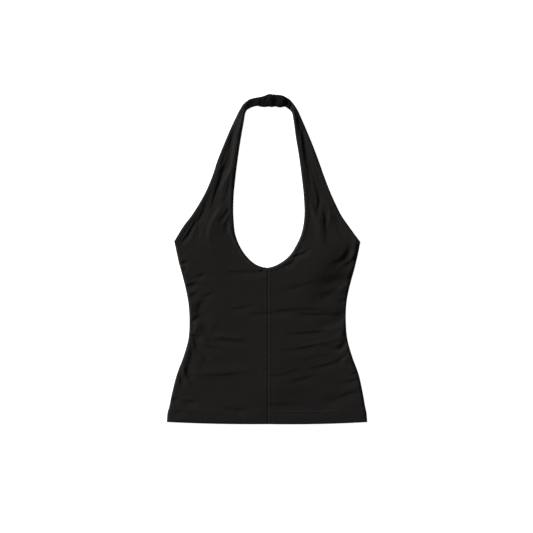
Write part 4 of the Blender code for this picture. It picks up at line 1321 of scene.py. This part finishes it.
# %% The knit's relief
WALE = 0.65           # width of a column of stitches
COURSE = 0.5          # height of a row
WANDER_WIDTH = 1.6
LEG_PLACE = 0.25      # a V's legs stand this far from the middle of its column, in columns
LEG_SLANT = 1.7       # rows that a leg climbs in the width of a column
LOOP_SHARE = 0.55     # how much of the relief rises and falls along a leg


def place_on_cloth(net, by_strip):
    """Across and along the cloth in millimetres: from its own strip map, or from the place on the table."""
    if by_strip:
        vector, to_mm = net.node("ShaderNodeUVMap", {"uv_map": "strip"}).outputs["UV"], 1.0
    else:
        vector, to_mm = net.node("ShaderNodeTexCoord").outputs["Object"], 1.0 / MM
    return net.axes(vector, to_mm)[:2]


def knit_relief(net, across, along):
    """Height of the V stitches, between 0 and 1."""
    wander = noise(net, across, along, WANDER) * WANDER_WIDTH
    leg = abs(((across + wander) / WALE).fraction() - 0.5)
    legs = 1.0 - (abs(leg - LEG_PLACE) / LEG_PLACE) ** 2.0
    loop = ((along / COURSE + leg * LEG_SLANT) * (2.0 * math.pi)).sine() * 0.5 + 0.5
    return legs * (loop * LOOP_SHARE + (1.0 - LOOP_SHARE))


# %% The finishes of the jersey
KNIT_DEPTH = 0.05     # millimetres, as are the other depths
FUZZ_DEPTH = 0.03
CRUMPLE_DEPTH = 0.14
WRINKLE_DEPTH = 0.30
STREAK_SHARE = 0.10   # shares of the colour
BLOTCH_SHARE = 0.12
# the knit's share is painted shade: lighter on the stitches, darker between them
KNIT_SHADE_SHARE = 0.10
GROOVE_SHADE_TONE = 0.95     # tone of the cloth between its stitches
FUZZ_ROUGHNESS = 0.12
KNIT_ROUGHNESS = 0.04
CLOTH_SPECULAR = 0.10
SHEEN_ROUGHNESS = 0.45
SHEEN_TINT = (0.9, 0.87, 0.82, 1.0)
Finish = namedtuple("Finish", "name color roughness sheen crumple")
FINISHES = {
    "jersey": Finish("black jersey", (0.0127, 0.0115, 0.0107), 0.88, 0.06, 1.0),
    "jersey_back": Finish("black jersey, back", (0.0121, 0.0111, 0.0103), 0.88, 0.06, 0.6),
    # The gathered band's colour is darkened far below the jersey's own: painted shade of its gathers.
    "gathered_band": Finish("black jersey, gathered, painted shade", (0.0038, 0.0035, 0.0033), 0.9, 0.04, 0.5),
    "binding": Finish("black jersey, bound edge", (0.0135, 0.0123, 0.0115), 0.86, 0.06, 0.4),
}


def cloth_material(slot, by_strip=False):
    """The knit with its fuzz, wear and streaks, and painted shade between its stitches, in the finish of a
    slot.
    """
    finish = FINISHES[slot]
    net = Net(finish.name)
    across, along = place_on_cloth(net, by_strip)
    knit = knit_relief(net, across, along)
    fuzz, crumple, wrinkle, streak, blotch = [
        noise(net, across, along, kind) for kind in (FUZZ, CRUMPLE, WRINKLE, STREAK, BLOTCH)
    ]
    wear = crumple * CRUMPLE_DEPTH + wrinkle * WRINKLE_DEPTH
    height = knit * KNIT_DEPTH + fuzz * FUZZ_DEPTH + wear * finish.crumple
    # streaks and blotches are the cloth's own dye and wear; the knit's part is painted shade between the
    # stitches
    tone = streak * STREAK_SHARE + blotch * BLOTCH_SHARE + knit * KNIT_SHADE_SHARE + GROOVE_SHADE_TONE
    net.fill(
        net.shader,
        Base_Color=net.toned(finish.color, tone),
        Roughness=fuzz * FUZZ_ROUGHNESS + knit * KNIT_ROUGHNESS + finish.roughness,
        Normal=net.node("ShaderNodeBump", Height=height, Strength=1.0, Distance=MM).outputs[0],
        Specular_IOR_Level=CLOTH_SPECULAR,
        Sheen_Weight=finish.sheen,
        Sheen_Roughness=SHEEN_ROUGHNESS,
        Sheen_Tint=SHEEN_TINT,
    )
    return net.material


# %% The thread
THREAD_COLOR = (0.0150, 0.0143, 0.0132)
THREAD_ROUGHNESS = 0.62
THREAD_SPECULAR = 0.3
PLY_PITCH = 0.45      # from one ply to the next
PLY_SLANT = 0.7
PLY_DEPTH = 0.03
# the plies' colour is lighter on their crests and darker between them: painted shade
PLY_SHADE_TONE = 0.12
PLY_ROUGHNESS = 0.05


def thread_material():
    """Twisted thread: slanted plies along each stitch, a little brighter than the cloth, with painted shade
    between the plies.
    """
    net = Net("black thread")
    x, y, z = net.axes(net.node("ShaderNodeTexCoord").outputs["Object"], 1.0 / MM)
    plies = ((x + y + z * PLY_SLANT) * (2.0 * math.pi / PLY_PITCH)).sine()
    net.fill(
        net.shader,
        Base_Color=net.toned(THREAD_COLOR, plies * PLY_SHADE_TONE + 1.0),
        Roughness=plies * PLY_ROUGHNESS + THREAD_ROUGHNESS,
        Normal=net.node("ShaderNodeBump", Height=plies, Strength=1.0, Distance=PLY_DEPTH * MM).outputs[0],
        Specular_IOR_Level=THREAD_SPECULAR,
    )
    return net.material


# %% Finish every piece
def dress(pieces, material):
    for piece in pieces:
        piece.data.materials.clear()
        piece.data.materials.append(material)


dress([*fronts.values(), allowance], cloth_material("jersey"))
dress([back], cloth_material("jersey_back"))
dress([band], cloth_material("gathered_band", by_strip=True))
dress(bindings.values(), cloth_material("binding", by_strip=True))
dress(stitching, thread_material())
print("materials:", ", ".join(sorted(material.name for material in bpy.data.materials if material.users)))
